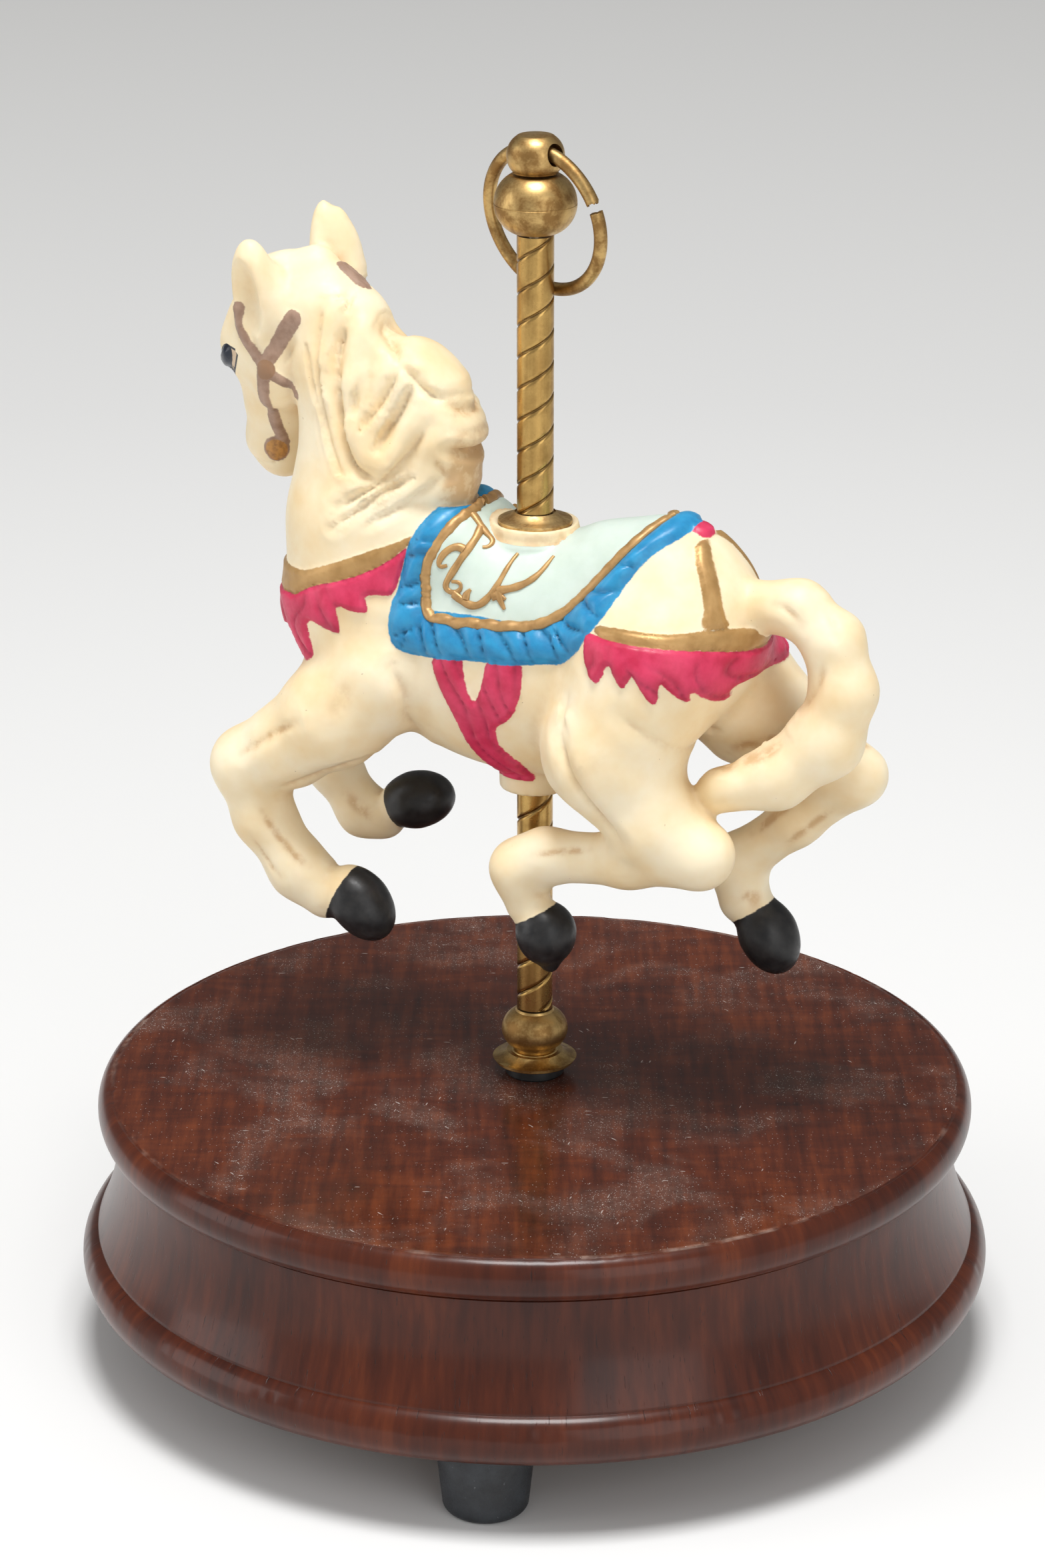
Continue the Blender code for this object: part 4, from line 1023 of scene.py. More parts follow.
# Outlines in (x, z) as seen from the side. Both sides of the horse wear the same.
# The points in this section's tables, and in CORD and SCROLLS below, were mostly computed by a
# helper program and not placed by hand.
CLOTH = [
    (-11, 172), (-12.4, 159.9), (-16.5, 155.0), (-18.1, 152.1), (-18.9, 149.1), (-19.4, 146.4),
    (-19.9, 142.8), (-20.6, 140.3), (-21.0, 136.9), (-20.5, 133.9), (-18.5, 132.1), (-14.5, 131.7),
    (-9.5, 132.3), (-3.8, 132.8), (0.8, 132.9), (5.2, 133.2), (9.0, 133.8), (12.2, 133.9),
    (16.0, 137.6), (18.0, 140.6), (20.0, 143.4), (21.8, 146.9), (24.0, 151.2), (26.2, 153.9),
    (29.6, 156.0), (31.9, 157.8), (33, 172),
]
FIELD = [
    (-5, 172), (-7.7, 157.5), (-10.0, 155.9), (-11.0, 154.9), (-12.6, 152.5), (-14.6, 148.4),
    (-15.2, 145.3), (-14.9, 142.5), (-14.6, 140.0), (-13.9, 139.7), (-10.4, 140.1), (-4.7, 140.4),
    (0.8, 140.2), (4.4, 139.4), (9.0, 140.9), (13.3, 143.6), (17.4, 148.0), (20.6, 151.8),
    (23.1, 154.9), (25.2, 157.0), (27.4, 160), (28, 172),
]
BREAST_STRAP = [
    (-60, 143.7), (-39.1, 143.7), (-32.8, 146.2), (-28.3, 148.0), (-24.6, 149.6), (-21.0, 150.8),
    (-17.5, 152.6), (-18.0, 150.9), (-21.7, 147.7), (-24.8, 145.9), (-28.8, 144.2), (-35.4, 142.1),
    (-40.6, 138.7), (-60, 138.4),
]
BREAST_FRINGE = [
    (-60, 138.9), (-40.6, 139.0), (-35.4, 142.3), (-28.8, 144.4), (-24.8, 146.1), (-21.7, 147.9),
    (-18.0, 151.0), (-19.5, 146.0), (-20.3, 141.8), (-22.8, 141.9), (-25.2, 141.8), (-24.4, 139.9),
    (-24.3, 138.7), (-27.0, 138.8), (-29.8, 139.6), (-30.0, 138.5), (-29.3, 135.6), (-29.5, 134.3),
    (-33.2, 135.1), (-35.2, 135.9), (-36.4, 135.4), (-36.6, 133.2), (-36.0, 130.7), (-35.4, 129.0),
    (-38.0, 127.2), (-40.0, 128.6), (-42.0, 133.2), (-44.0, 131.8), (-60, 132.4),
]
BREECHING_STRAP = [
    (19.0, 142.9), (24.3, 143.3), (29.1, 143.1), (33.5, 142.7), (37.3, 142.7), (43.8, 141.5),
    (60, 140.5), (60, 136.5), (45.3, 136.6), (41.2, 138.0), (38.2, 139.4), (34.5, 140.3), (30.6, 140.8),
    (25.1, 141.2), (19.4, 141.4),
]
BREECHING_FRINGE = [
    (17.4, 141.3), (19.4, 141.6), (25.1, 141.4), (30.6, 141.0), (34.5, 140.5), (38.2, 139.6),
    (41.2, 138.2), (45.3, 136.8), (60, 136.7), (60, 131.2), (44.3, 131.4), (41.6, 131.9), (40.3, 131.8),
    (39.6, 129.2), (38.6, 130.6), (36.6, 133.7), (36.4, 130.8), (33.9, 133.4), (32.3, 135.6),
    (32.2, 132.8), (31.6, 131.0), (30.3, 132.2), (28.2, 135.9), (28.0, 136.6), (26.4, 133.3),
    (24.6, 135.7), (23.5, 138.0), (22.3, 135.0), (21.3, 133.7), (19.6, 134.7), (18.2, 137.2),
]
HIP_STRAP = [
    (31.8, 155.4), (33.0, 152.9), (34.9, 149.5), (36.2, 146.0), (36.5, 142.6), (40.3, 142.3), (39.1, 144.1),
    (37.9, 148.1), (35.8, 152.0), (33.4, 155.6),
]
GIRTH = [
    (-12.9, 132.5), (-11.7, 128.1), (-9.7, 124.1), (-8.2, 120.6), (-7.5, 117.2), (-6.2, 113.6),
    (-4.6, 111.0), (-4.2, 100.0), (3.0, 100.0), (2.6, 112.7), (0.2, 115.4), (-0.8, 117.9),
    (-0.7, 120.8), (2.1, 122.5), (4.2, 125.7), (5.2, 130.7), (5.0, 134.0), (-1.4, 134.0), (-2.3, 129.8),
    (-3.0, 127.0), (-4.2, 125.1), (-5.1, 126.5), (-5.8, 129.1), (-6.3, 134.0),
]
HIP_DOT = ((31.7, -0.6, 157.2), 2.3)
# Bridle straps on the near cheek: points on the skin, and half of the strap's width at each end.
BRIDLE = [
    ([
        (-53.3, -7.8, 187.9), (-54.4, -6.4, 185.0), (-52.3, -7.7, 182.5), (-50.3, -7.6, 180.0),
        (-48.6, -7.8, 178.3),
    ], 1.15, 1.15),
    ([(-42.6, -7.4, 187.0), (-43.7, -7.2, 185.8), (-46.1, -6.7, 182.1), (-47.4, -7.5, 179.7)], 1.7, 1.4),
    ([
        (-48.4, -7.9, 177.4), (-48.7, -7.6, 175.5), (-49.0, -6.4, 172.6), (-50.6, -0.6, 166.9),
        (-50.4, 2.8, 161.6),
    ], 1.35, 1.05),
    ([(-48.0, -7.9, 177.6), (-45.6, -7.0, 175.6), (-42.6, -7.4, 173.4)], 0.95, 1.0),
]
BUCKLE = ((-48.0, -7.9, 177.6), 1.75)
ROSETTE = ((-51.8, 2.6, 160.2), 1.9)
POLL_STRAP = ([(-36.6, 0.8, 194.4), (-35.2, 0.6, 193.4), (-33.8, 0.4, 192.2)], 2.1)
# The eye lies in a plane across the cheek: its middle, and where "back" and "up" point.
EYE = np.array((-58.1, -3.7, 177.7))
EYE_BACK = np.array((0.906, 0.423, 0.0))
EYE_UP = np.array((-0.145, 0.310, 0.940))
EYE_RADII = (1.25, 2.2)
EYE_CORNER = [(0.1, 2.0), (2.3, 0.5), (1.7, -1.6), (1.2, -2.9), (0.9, -1.4), (0.6, 0.2)]
# Grooves between the locks, folds of the skin, and the brown wash brushed into them, as lines in (x, z):
# the side they are on (-1 near, 1 far, 0 both), how wide, how deep, how brown, and the line.
STROKES = [
    (0, 0.9, 0.70, 0.30, [
        (-37.0, 190.7), (-37.3, 186.7), (-37.1, 182.7), (-36.4, 177.6), (-35.3, 173), (-33.8, 168),
        (-31.9, 164), (-30, 160.5),
    ]),
    (0, 0.6, 0.35, 0.30, [
        (-39.9, 184.3), (-39.0, 180.3), (-37.4, 175.8), (-35.1, 170.8), (-32.8, 165.9), (-31.1, 161.9),
    ]),
    (0, 1.1, 1.60, 0.45, [
        (-32.5, 187.5), (-33.3, 182.5), (-33.0, 176.9), (-31.9, 170.8), (-30.3, 165.7), (-27.8, 162.6),
        (-24.1, 161.6),
    ]),
    (0, 0.9, 0.90, 0.35, [(-28.5, 177.6), (-29.0, 174.5), (-29.1, 171.6)]),
    (0, 1.0, 1.10, 0.45, [(-21.9, 180.8), (-23.0, 177.7), (-25.3, 173.5), (-27.5, 170.2)]),
    (0, 1.0, 1.20, 0.45, [(-18.6, 178.5), (-21.0, 173.6), (-23.7, 169.2), (-24.4, 166.9)]),
    (0, 0.9, 1.10, 0.45, [
        (-15.9, 171.3), (-18.7, 166.5), (-21.2, 163.1), (-24.9, 160.3), (-28.3, 158.4), (-30.6, 156.4),
    ]),
    (0, 0.8, 0.80, 0.40, [
        (-18.3, 162.6), (-21.3, 160.6), (-24.4, 158.6), (-26.4, 156.8), (-29.2, 154.9), (-31.3, 153.3),
    ]),
    (0, 0.7, 0.60, 0.35, [(-13.0, 163.2), (-16.3, 160), (-20.6, 156.6), (-25.0, 154.4)]),
    (0, 0.8, 1.10, 0.60, [(-27.6, 188.4), (-26.9, 186.6), (-25.4, 184.8), (-23.3, 183.1), (-21.8, 181.2)]),
    (0, 0.8, 1.00, 0.35, [
        (-21.8, 181.2), (-19.5, 180.2), (-17.7, 178.2), (-15.7, 176.6), (-13.8, 176), (-12.8, 176),
    ]),
    (0, 0.8, 0.80, 0.95, [(-13.4, 175.6), (-12.4, 174.8), (-11.3, 173.8), (-10.0, 172.9), (-8.6, 173.2)]),
    (0, 0.8, 1.70, 1.10, [(-12.4, 167.4), (-10.2, 166.4), (-8.6, 165.6), (-6.5, 165.4)]),
    (0, 3.6, 0.00, 1.30, [(-9.5, 168.6), (-11.0, 163.0), (-12.6, 156.0)]),
    (0, 0.7, 0.50, 0.90, [(-14.6, 166.6), (-13.8, 163.6), (-12.2, 161.6)]),
    (0, 0.8, 0.60, 0.25, [(-34.8, 191), (-33.4, 191.6), (-32.2, 190.2), (-33.2, 188.6)]),
    (0, 0.7, 0.55, 0.45, [(-52.9, 183.8), (-50.4, 181.8), (-48.4, 179.9)]),
    (0, 0.6, 0.50, 0.30, [(-42.6, 183.0), (-44.4, 180.0), (-45.6, 177.6)]),
    (-1, 0.9, 0.40, 0.85, [(-48.4, 110.3), (-44.6, 113.0), (-40.7, 115.9), (-36.2, 118.5)]),
    (-1, 0.6, 0.35, 0.90, [(-45.3, 99.7), (-43.6, 96.6), (-41.4, 93.5), (-38.8, 91.4), (-36.6, 89.7)]),
    (-1, 0.6, 0.25, 0.80, [(-47.2, 94.4), (-44.9, 90.6), (-41.1, 87.6)]),
    (-1, 0.9, 0.55, 0.55, [(-42.3, 103.7), (-35.7, 106.8), (-30.5, 109.4), (-25.5, 111.3)]),
    (-1, 1.0, 0.80, 0.45, [(-19.4, 129.6), (-17.6, 126), (-17.4, 122.8), (-18.2, 118.9), (-18.6, 115.5)]),
    (-1, 3.4, 0.35, 0.45, [(-30.2, 119.7), (-26.8, 124.2), (-28.8, 127.4)]),
    (1, 1.6, 0.10, 0.80, [(-42.8, 94.8), (-39.2, 91.7), (-35.9, 90.0)]),
    (-1, 1.3, 0.35, 0.20, [(15.2, 132), (14.4, 128.7), (15.0, 123.0)]),
    (-1, 1.1, 1.00, 0.40, [(14.8, 124.0), (17.6, 117.1), (20.7, 111.7), (23.0, 107.7), (25.4, 105.5)]),
    (-1, 1.1, 0.45, 0.35, [(26, 129), (31.6, 124.5), (34.4, 120.4), (36.2, 116.5)]),
    (-1, 0.7, 0.15, 0.80, [(7.9, 99.6), (13.0, 100.7), (18.3, 101.9)]),
    (-1, 1.2, 0.20, 0.50, [(6.9, 93.0), (8.7, 90.4), (10.4, 89.6)]),
    (1, 1.1, 0.20, 1.00, [(38.0, 99.4), (43.3, 104.4), (46.5, 107.6)]),
    (1, 0.8, 0.30, 0.90, [(44.6, 98.5), (49.2, 102.7), (53.1, 106.4)]),
    (1, 1.3, 0.15, 1.00, [(35.8, 87.1), (38.4, 88.3), (39.2, 84.9)]),
    (1, 1.9, 0.15, 1.00, [(54.4, 117.2), (58.4, 118.6), (61.0, 119.6)]),
    (0, 1.1, 0.40, 0.55, [(56.3, 138.0), (55.6, 134.5), (54.2, 131.5), (51.6, 128.0)]),
    (0, 1.6, 0.30, 0.80, [(41.3, 118.9), (46.7, 120.7), (50.0, 123.6)]),
    (0, 1.3, 0.50, 0.90, [(36.0, 116.4), (38.4, 118.0), (42.8, 118.6)]),
    (0, 0.8, 0.50, 0.60, [(46.3, 146.4), (48.2, 146.2), (50.0, 145.4), (51.6, 143.6)]),
    (0, 0.7, 0.30, 0.40, [(55.1, 146.2), (56.8, 144.6), (58.2, 142)]),
]


def outline_distance(outline, x, z):
    """The distance to an outline, positive inside, and how far round it the nearest point lies."""
    corners = np.array(outline, float)
    following = np.roll(corners, -1, axis=0)
    best = np.full(x.shape, 1e9)
    along = np.zeros(x.shape)
    inside = np.zeros(x.shape, bool)
    walked = 0.0
    for (ax, az), (bx, bz) in zip(corners, following):
        dx, dz = bx - ax, bz - az
        length = max(np.hypot(dx, dz), 1e-9)
        t = np.clip(((x - ax) * dx + (z - az) * dz) / length**2, 0.0, 1.0)
        gap = np.hypot(x - ax - t * dx, z - az - t * dz)
        nearer = gap < best
        best = np.where(nearer, gap, best)
        along = np.where(nearer, walked + t * length, along)
        if az != bz:
            inside ^= ((az > z) != (bz > z)) & (x < dx * (z - az) / (bz - az) + ax)
        walked += length
    return np.where(inside, best, -best), along


def line_distance(line, points):
    """The distance from each point to a line of straight stretches."""
    line = np.array(line, float)
    best = np.full(len(points), 1e9)
    for a, b in zip(line, line[1:]):
        d = b - a
        t = np.clip((points - a) @ d / max(d @ d, 1e-9), 0.0, 1.0)
        best = np.minimum(best, np.linalg.norm(points - a - t[:, None] * d, axis=1))
    return best


def on_skin(line, skin):
    """The line's points, close together, moved onto the skin and evened out."""
    path = np.array([skin.find_nearest(Vector(point))[0] for point in resampled(line, 0.5)])
    for _ in range(12):
        path[1:-1] = (path[:-2] + path[1:-1] + path[2:]) / 3
    return path


def stroke_fields(points):
    """How deep the grooves cut into each point of the skin, and how brown it is, with a painted shadow line
    round the foot of the cream boss at the saddle.
    """
    x, y, z = points.T
    depth = np.zeros(len(points))
    wash_and_shade = np.zeros(len(points))
    for side, width, deep, brown, line in STROKES:
        line = smoothed(line, 2)
        box = (x > line[:, 0].min() - 9) & (x < line[:, 0].max() + 9)
        box &= (z > line[:, 1].min() - 9) & (z < line[:, 1].max() + 9)
        if side:
            box &= y * side > 0
        flat = np.stack([x[box], z[box]], 1)
        away = line_distance(line, flat)
        ends = np.minimum(np.linalg.norm(flat - line[0], axis=1), np.linalg.norm(flat - line[-1], axis=1))
        taper = 0.35 + 0.65 * ramp_up(ends, 3.0)
        swell = 0.30 * np.exp(-(((away - 2.6 * width) / (1.3 * width)) ** 2))
        cut = (1.25 * np.exp(-(np.sqrt(away**2 + 0.01) - 0.1) / (0.7 * width)) - swell) * taper
        depth[box] = np.where(np.abs(deep * cut) > np.abs(depth[box]), deep * cut, depth[box])
        wash_and_shade[box] = np.maximum(wash_and_shade[box], brown * np.exp(-((away / (0.3 + 0.5 * width)) ** 2)) * taper)
    # Painted shadow: a brown line round the foot of the cream boss where it stands out of the saddle.
    seat_shadow_distance = np.abs(np.hypot(x, y) - 8.0) + np.maximum(0.0, 148.5 - z)
    wash_and_shade = np.maximum(wash_and_shade, 0.7 * np.exp(-((seat_shadow_distance / 0.5) ** 2)))
    return depth, wash_and_shade


def eye_fields(points):
    """The eyeball and its pale corner, as flat outlines seen from the cheek."""
    ball = np.full(len(points), -9.0)
    corner = np.full(len(points), -9.0)
    far_eye = across_head(EYE)
    for middle, back, up in (
        (EYE, EYE_BACK, EYE_UP),
        (far_eye, across_head(EYE + EYE_BACK) - far_eye, across_head(EYE + EYE_UP) - far_eye),
    ):
        offset = points - middle
        close = np.linalg.norm(offset, axis=1) < 5.0
        right, height = offset[close] @ back, offset[close] @ up
        level = np.hypot(right / EYE_RADII[0], height / EYE_RADII[1])
        ball[close] = np.maximum(ball[close], (1.0 - level) * EYE_RADII[0])
        inside = outline_distance(EYE_CORNER, right, height)[0]
        corner[close] = np.maximum(corner[close], inside)
    return ball, corner


def nearest_shape(points, chains, eggs=()):
    x, y, z = points.T
    best = np.full(len(points), 1e9)
    for joints in chains:
        for first, second in zip(joints, joints[1:]):
            best = np.minimum(best, bone(first, second)[0](x, y, z))
    for centre, radii in eggs:
        best = np.minimum(best, egg(centre, radii)[0](x, y, z))
    return best


def hoof_distance(points):
    """Positive on the hooves."""
    best = np.full(len(points), -9.0)
    for start, middle, _, facing in HOOVES.values():
        ahead = (points - np.array(start)) @ (np.array(facing) / np.linalg.norm(facing))
        close = 11.0 - np.linalg.norm(points - np.array(middle), axis=1)
        best = np.maximum(best, np.minimum(ahead, close))
    return best


def ramp_up(value, width):
    t = np.clip(value / width, 0.0, 1.0)
    return t * t * (3 - 2 * t)


def tack_fields(points, skin):
    """How far each point of the skin lies inside each painted region."""
    x, y, z = points.T
    body = nearest_shape(points, [*BACK, LOINS, NECK], TRUNK)
    limbs = nearest_shape(points, [joints[1:] for joints in LIMBS.values()])
    far_locks = [[(a, -b, c, r) for a, b, c, r in lock] for lock in LOCKS]
    hair = nearest_shape(points, [*CREST, TAIL, *LOCKS, *far_locks])
    boss = np.minimum(
        np.maximum(np.hypot(x, y) - 7.95, np.abs(z - 153.6) - 1.9),
        np.maximum(np.hypot(x, y) - 6.7, z - 108.4),
    )
    on_body = np.minimum(hair - body, limbs - body + 6.0) + 0.8
    on_body = np.minimum(on_body, boss * 4.0)
    fields = {}
    cloth, along = outline_distance(smoothed(CLOTH, 2, True), x, z)
    fields["cloth"] = np.minimum(cloth, on_body)
    fields["cloth_field"] = np.minimum(outline_distance(smoothed(FIELD, 1, True), x, z)[0], on_body)

    def within(*outlines):
        inside = [outline_distance(smoothed(line, 1, True), x, z)[0] for line in outlines]
        return np.maximum.reduce(inside)

    gold = within(BREAST_STRAP, BREECHING_STRAP, HIP_STRAP)
    pink = within(BREAST_FRINGE, BREECHING_FRINGE, GIRTH)
    dot = HIP_DOT[1] - np.linalg.norm(np.stack([x, np.abs(y), z], 1) - np.abs(HIP_DOT[0]), axis=1)
    pink = np.maximum(pink, dot)
    fields["gold"] = np.minimum(gold, on_body)
    fields["pink"] = np.minimum(pink, on_body)
    taupe = np.full(len(points), -9.0)
    for line, first, last in BRIDLE:
        for side in (line, across_head(line)):
            path = on_skin(side, skin)
            for share, point in zip(np.linspace(0, 1, len(path)), path):
                half = first + (last - first) * share
                taupe = np.maximum(taupe, half - np.linalg.norm(points - point, axis=1))
    middle, radius = BUCKLE
    rose, rose_radius = ROSETTE
    ochre = np.full(len(points), -9.0)
    buckle = np.full(len(points), -9.0)
    for near, far in ((middle, rose), (across_head(middle), across_head(rose))):
        from_buckle = points - np.array(skin.find_nearest(Vector(near))[0])
        buckle = np.maximum(buckle, radius - np.linalg.norm(from_buckle, axis=1))
        offset = points - np.array(skin.find_nearest(Vector(far))[0])
        round_rose = rose_radius - np.linalg.norm(offset * (1.0, 1.0, 0.78), axis=1)
        taupe = np.maximum(taupe, round_rose + 0.4)
        ochre = np.maximum(ochre, round_rose)
    taupe = np.maximum(taupe, POLL_STRAP[1] - line_distance(on_skin(POLL_STRAP[0], skin), points))
    fields["taupe"] = taupe
    fields["buckle"] = buckle
    fields["ochre"] = ochre
    fields["eye"], fields["eye_corner"] = eye_fields(points)
    fields["hoof"] = hoof_distance(points)
    return fields, along


def tack_relief(points, fields, along):
    """How far the modelled tack stands out from the skin, and where painted shade darkens the blanket's
    flutes and the fringes' folds.
    """
    x, _, z = points.T
    cloth, field = fields["cloth"], fields["cloth_field"]
    border = np.clip(cloth / np.maximum(cloth - field, 0.5), 0.0, 1.0)
    roll = np.sin(pi * np.clip(border, 0, 1)) * (field < 0.3)
    gather = np.abs(np.sin(pi * (along + border * 3.0 + 0.8 * np.sin(along * 0.7)) / 4.3))
    low = ramp_up(156.0 - z, 6.0)
    shaded_crease = np.exp(-gather / 0.20) * low * ramp_up(border, 0.15)
    shaded_crease = shaded_crease * ramp_up(1.05 - border, 0.45) * (field < 0)
    pads = 1 - 0.75 * low * (1 - np.sqrt(gather)) * (field < 0) - 0.35 * shaded_crease
    relief = ramp_up(cloth, 0.9) * (0.55 + (0.75 + 0.7 * low) * roll * pads)
    relief = np.where(cloth > 0, relief, 0.0)
    girth = outline_distance(GIRTH, x, z)[0] > -1.0
    wander = 1.3 * np.sin(z * 0.5 + x * 0.23) + 0.9 * np.sin(x * 0.41 - z * 0.3)
    fold_wave = np.where(girth, x * 0.95 + z * 0.38 + 0.4 * wander, x * 0.62 + z * 0.15 + wander)
    folds = np.abs(np.sin(fold_wave))
    lower_part = np.where(girth, 1.0, ramp_up(np.where(x > 0, 139.0, 143.0 + x * 0.05) - z, 4.0))
    fold_line = np.exp(-folds / 0.24) * (0.25 + 0.75 * lower_part)
    relief = np.maximum(relief, ramp_up(fields["gold"], 0.6) * 0.55)
    relief = np.maximum(relief, ramp_up(fields["pink"], 0.7) * (0.85 - 0.60 * fold_line))
    for name, edge, height in (
        ("taupe", 0.5, 0.45),
        ("ochre", 0.9, 0.75),
        ("buckle", 0.5, 0.70),
        ("eye", 0.9, 0.75),
    ):
        relief = np.maximum(relief, ramp_up(fields[name], edge) * height)
    # Painted shade: the blanket's flute creases and the fringes' folds are darkened in colour.
    dark = np.maximum(shaded_crease * (cloth > 0), 0.6 * fold_line * (fields["pink"] > 0))
    return relief, dark


def face_normals_to_vertices(vertices, quads):
    a, b, c, d = (vertices[quads[:, i]] for i in range(4))
    faces = np.cross(c - a, d - b)
    normals = np.zeros_like(vertices)
    for i in range(4):
        for axis in range(3):
            normals[:, axis] += np.bincount(quads[:, i], faces[:, axis], len(vertices))
    return normals / np.maximum(np.linalg.norm(normals, axis=1), 1e-9)[:, None]


def relaxed(vertices, quads, rounds):
    """Vertices drawn towards their neighbours, to take out the voxels' steps."""
    for _ in range(rounds):
        total = np.zeros_like(vertices)
        count = np.zeros(len(vertices))
        for i in range(4):
            a, b = quads[:, i], quads[:, (i + 1) % 4]
            for first, second in ((a, b), (b, a)):
                count += np.bincount(first, minlength=len(vertices))
                for axis in range(3):
                    total[:, axis] += np.bincount(first, vertices[second, axis], len(vertices))
        vertices = vertices * 0.45 + total / count[:, None] * 0.55
    return vertices


def box_blur(field, reach):
    """The mean over a cube that reaches this many voxels to each side."""
    for axis in range(3):
        total = np.cumsum(field, axis=axis, dtype=np.float64)
        steps = np.arange(field.shape[axis])
        ahead = np.take(total, np.clip(steps + reach, 0, steps[-1]), axis=axis)
        behind = np.take(total, np.clip(steps - reach - 1, 0, steps[-1]), axis=axis)
        field = ((ahead - behind) / (2 * reach + 1)).astype(np.float32)
    return field


def make_horse(paint):
    clay = shape_horse()
    vertices, quads = clay.skin()
    vertices = relaxed(vertices, quads, 3)
    normals = face_normals_to_vertices(vertices, quads)
    skin = BVHTree.FromPolygons(vertices.tolist(), quads.tolist())
    fields, along = tack_fields(vertices, skin)
    clipped = np.clip(clay.field, -3.0, 3.0)
    fields["hollow"] = -clay.sample(box_blur(box_blur(clipped, 2), 2), vertices)
    relief, fields["shaded_crease"] = tack_relief(vertices, fields, along)
    grooves, fields["wash_and_shade"] = stroke_fields(vertices)
    covered = np.maximum.reduce([fields[name] for name in ("cloth", "gold", "pink", "hoof", "taupe")])
    grooves = grooves * ramp_up(0.4 - covered, 0.8)
    vertices = vertices + normals * (relief - grooves)[:, None]
    mesh = bpy.data.meshes.new("painted_horse")
    mesh.vertices.add(len(vertices))
    mesh.vertices.foreach_set("co", (vertices * MM).astype(np.float32).ravel())
    mesh.loops.add(quads.size)
    mesh.loops.foreach_set("vertex_index", quads.astype(np.int32).ravel())
    mesh.polygons.add(len(quads))
    mesh.polygons.foreach_set("loop_start", np.arange(0, quads.size, 4, dtype=np.int32))
    mesh.update(calc_edges=True)
    mesh.validate()
    for name, values in fields.items():
        layer = mesh.attributes.new(name, "FLOAT", "POINT")
        layer.data.foreach_set("value", values.astype(np.float32))
    mesh.shade_smooth()
    mesh.materials.append(paint)
    horse = bpy.data.objects.new("painted_horse", mesh)
    bpy.context.scene.collection.objects.link(horse)
    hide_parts("horse")
    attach(horse, "carousel")
    return vertices, quads


CORD = [
    (-9.0, -0.3, 157.0), (-9.6, -2.0, 156.4), (-11.0, -4.7, 154.9), (-12.6, -6.6, 152.5),
    (-14.6, -7.3, 148.4), (-15.2, -9.1, 145.3), (-14.9, -11.3, 142.5), (-14.7, -12.8, 139.5),
    (-14.0, -13.4, 138.2), (-10.4, -14.3, 138.3), (-4.7, -14.6, 138.6), (0.8, -14.7, 138.8),
    (5.1, -14.3, 139.1), (9.2, -13.2, 140.6), (13.2, -11.7, 143.5), (17.3, -10.5, 147.9),
    (20.5, -8.7, 151.8), (23.0, -6.2, 155.0), (25.0, -2.7, 157.2), (26.2, -0.3, 158.0),
]
SCROLLS = [
    [
        (-10.0, -5.2, 154.1), (-8.3, -6.1, 152.3), (-6.2, -6.5, 151.0), (-5.0, -6.9, 150.0),
        (-5.7, -7.8, 148.8), (-6.7, -7.7, 149.1),
    ],
    [
        (-8.2, -6.2, 152.1), (-8.5, -7.3, 149.9), (-9.3, -8.2, 147.9), (-9.6, -9.4, 146.4),
        (-10.4, -10.4, 145.2), (-10.9, -11.1, 144.0), (-9.5, -12.0, 143.2), (-8.0, -12.2, 143.3),
        (-7.2, -11.6, 144.4), (-8.1, -10.9, 145.3), (-9.5, -10.8, 145.0),
    ],
    [
        (-9.6, -7.7, 148.6), (-10.7, -7.4, 149.3), (-12.1, -7.4, 149.1), (-13.0, -7.8, 147.7),
        (-12.0, -8.7, 146.7), (-11.0, -8.5, 147.2),
    ],
    [
        (-8.9, -12.2, 143.2), (-7.1, -12.9, 142.2), (-5.4, -13.5, 141.6), (-3.7, -13.4, 141.9),
        (-2.3, -12.6, 143.4), (-1.2, -11.8, 144.9), (-0.4, -9.6, 147.2), (0.6, -7.6, 150.3),
    ],
    [(-6.6, -12.7, 142.6), (-6.8, -12.0, 143.7), (-5.9, -11.9, 144.1)],
    [(-1.0, -12.1, 144.4), (2.1, -11.5, 145.0), (4.9, -10.1, 146.2), (6.3, -8.4, 147.7), (7.1, -7.1, 149.9)],
    [(-0.8, -12.1, 144.4), (-0.1, -12.8, 143.0), (0.9, -13.4, 141.9)],
    [(-1.7, -12.6, 143.5), (-0.3, -12.2, 144.1), (0.8, -12.6, 143.3)],
]


def laid_on_skin(name, lines, halves, skin, material, side):
    """Raised lines on the skin. halves are half their width at the start, the middle and the end."""
    shapes = []
    for line in lines:
        line = np.array(line, float) * (1, side, 1)
        path = resampled(smoothed(line, 2), 0.45)
        seats = [skin.find_nearest(Vector(point)) for point in path]
        path = np.array([seat[0] + seat[1] * 0.12 for seat in seats])
        for _ in range(6):
            path[1:-1] = (path[:-2] + path[1:-1] + path[2:]) / 3
        share = np.linspace(0, 1, len(path))
        radii = np.interp(share, (0.0, 0.45, 1.0), halves)
        radii = radii * (1 + 0.07 * np.sin(share * len(path) * 0.9))
        normals = [seat[1] for seat in seats]
        shapes.append(swept(name, path, radii, material, 12, normals, 0.62))
    with bpy.context.temp_override(active_object=shapes[0], selected_editable_objects=shapes):
        bpy.ops.object.join()
    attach(shapes[0], "carousel")


def make_trim(vertices, quads, gold):
    """The gilt cord and scrolls. The far side goes without the first scroll."""
    skin = BVHTree.FromPolygons(vertices.tolist(), quads.tolist())
    for side, word in ((1, "near"), (-1, "far")):
        laid_on_skin(f"gold_cord_{word}", [CORD], (0.95, 1.0, 0.95), skin, gold, side)
        scrolls = SCROLLS if side > 0 else SCROLLS[1:]
        laid_on_skin(f"scrollwork_{word}", scrolls, (0.75, 0.65, 0.28), skin, gold, side)


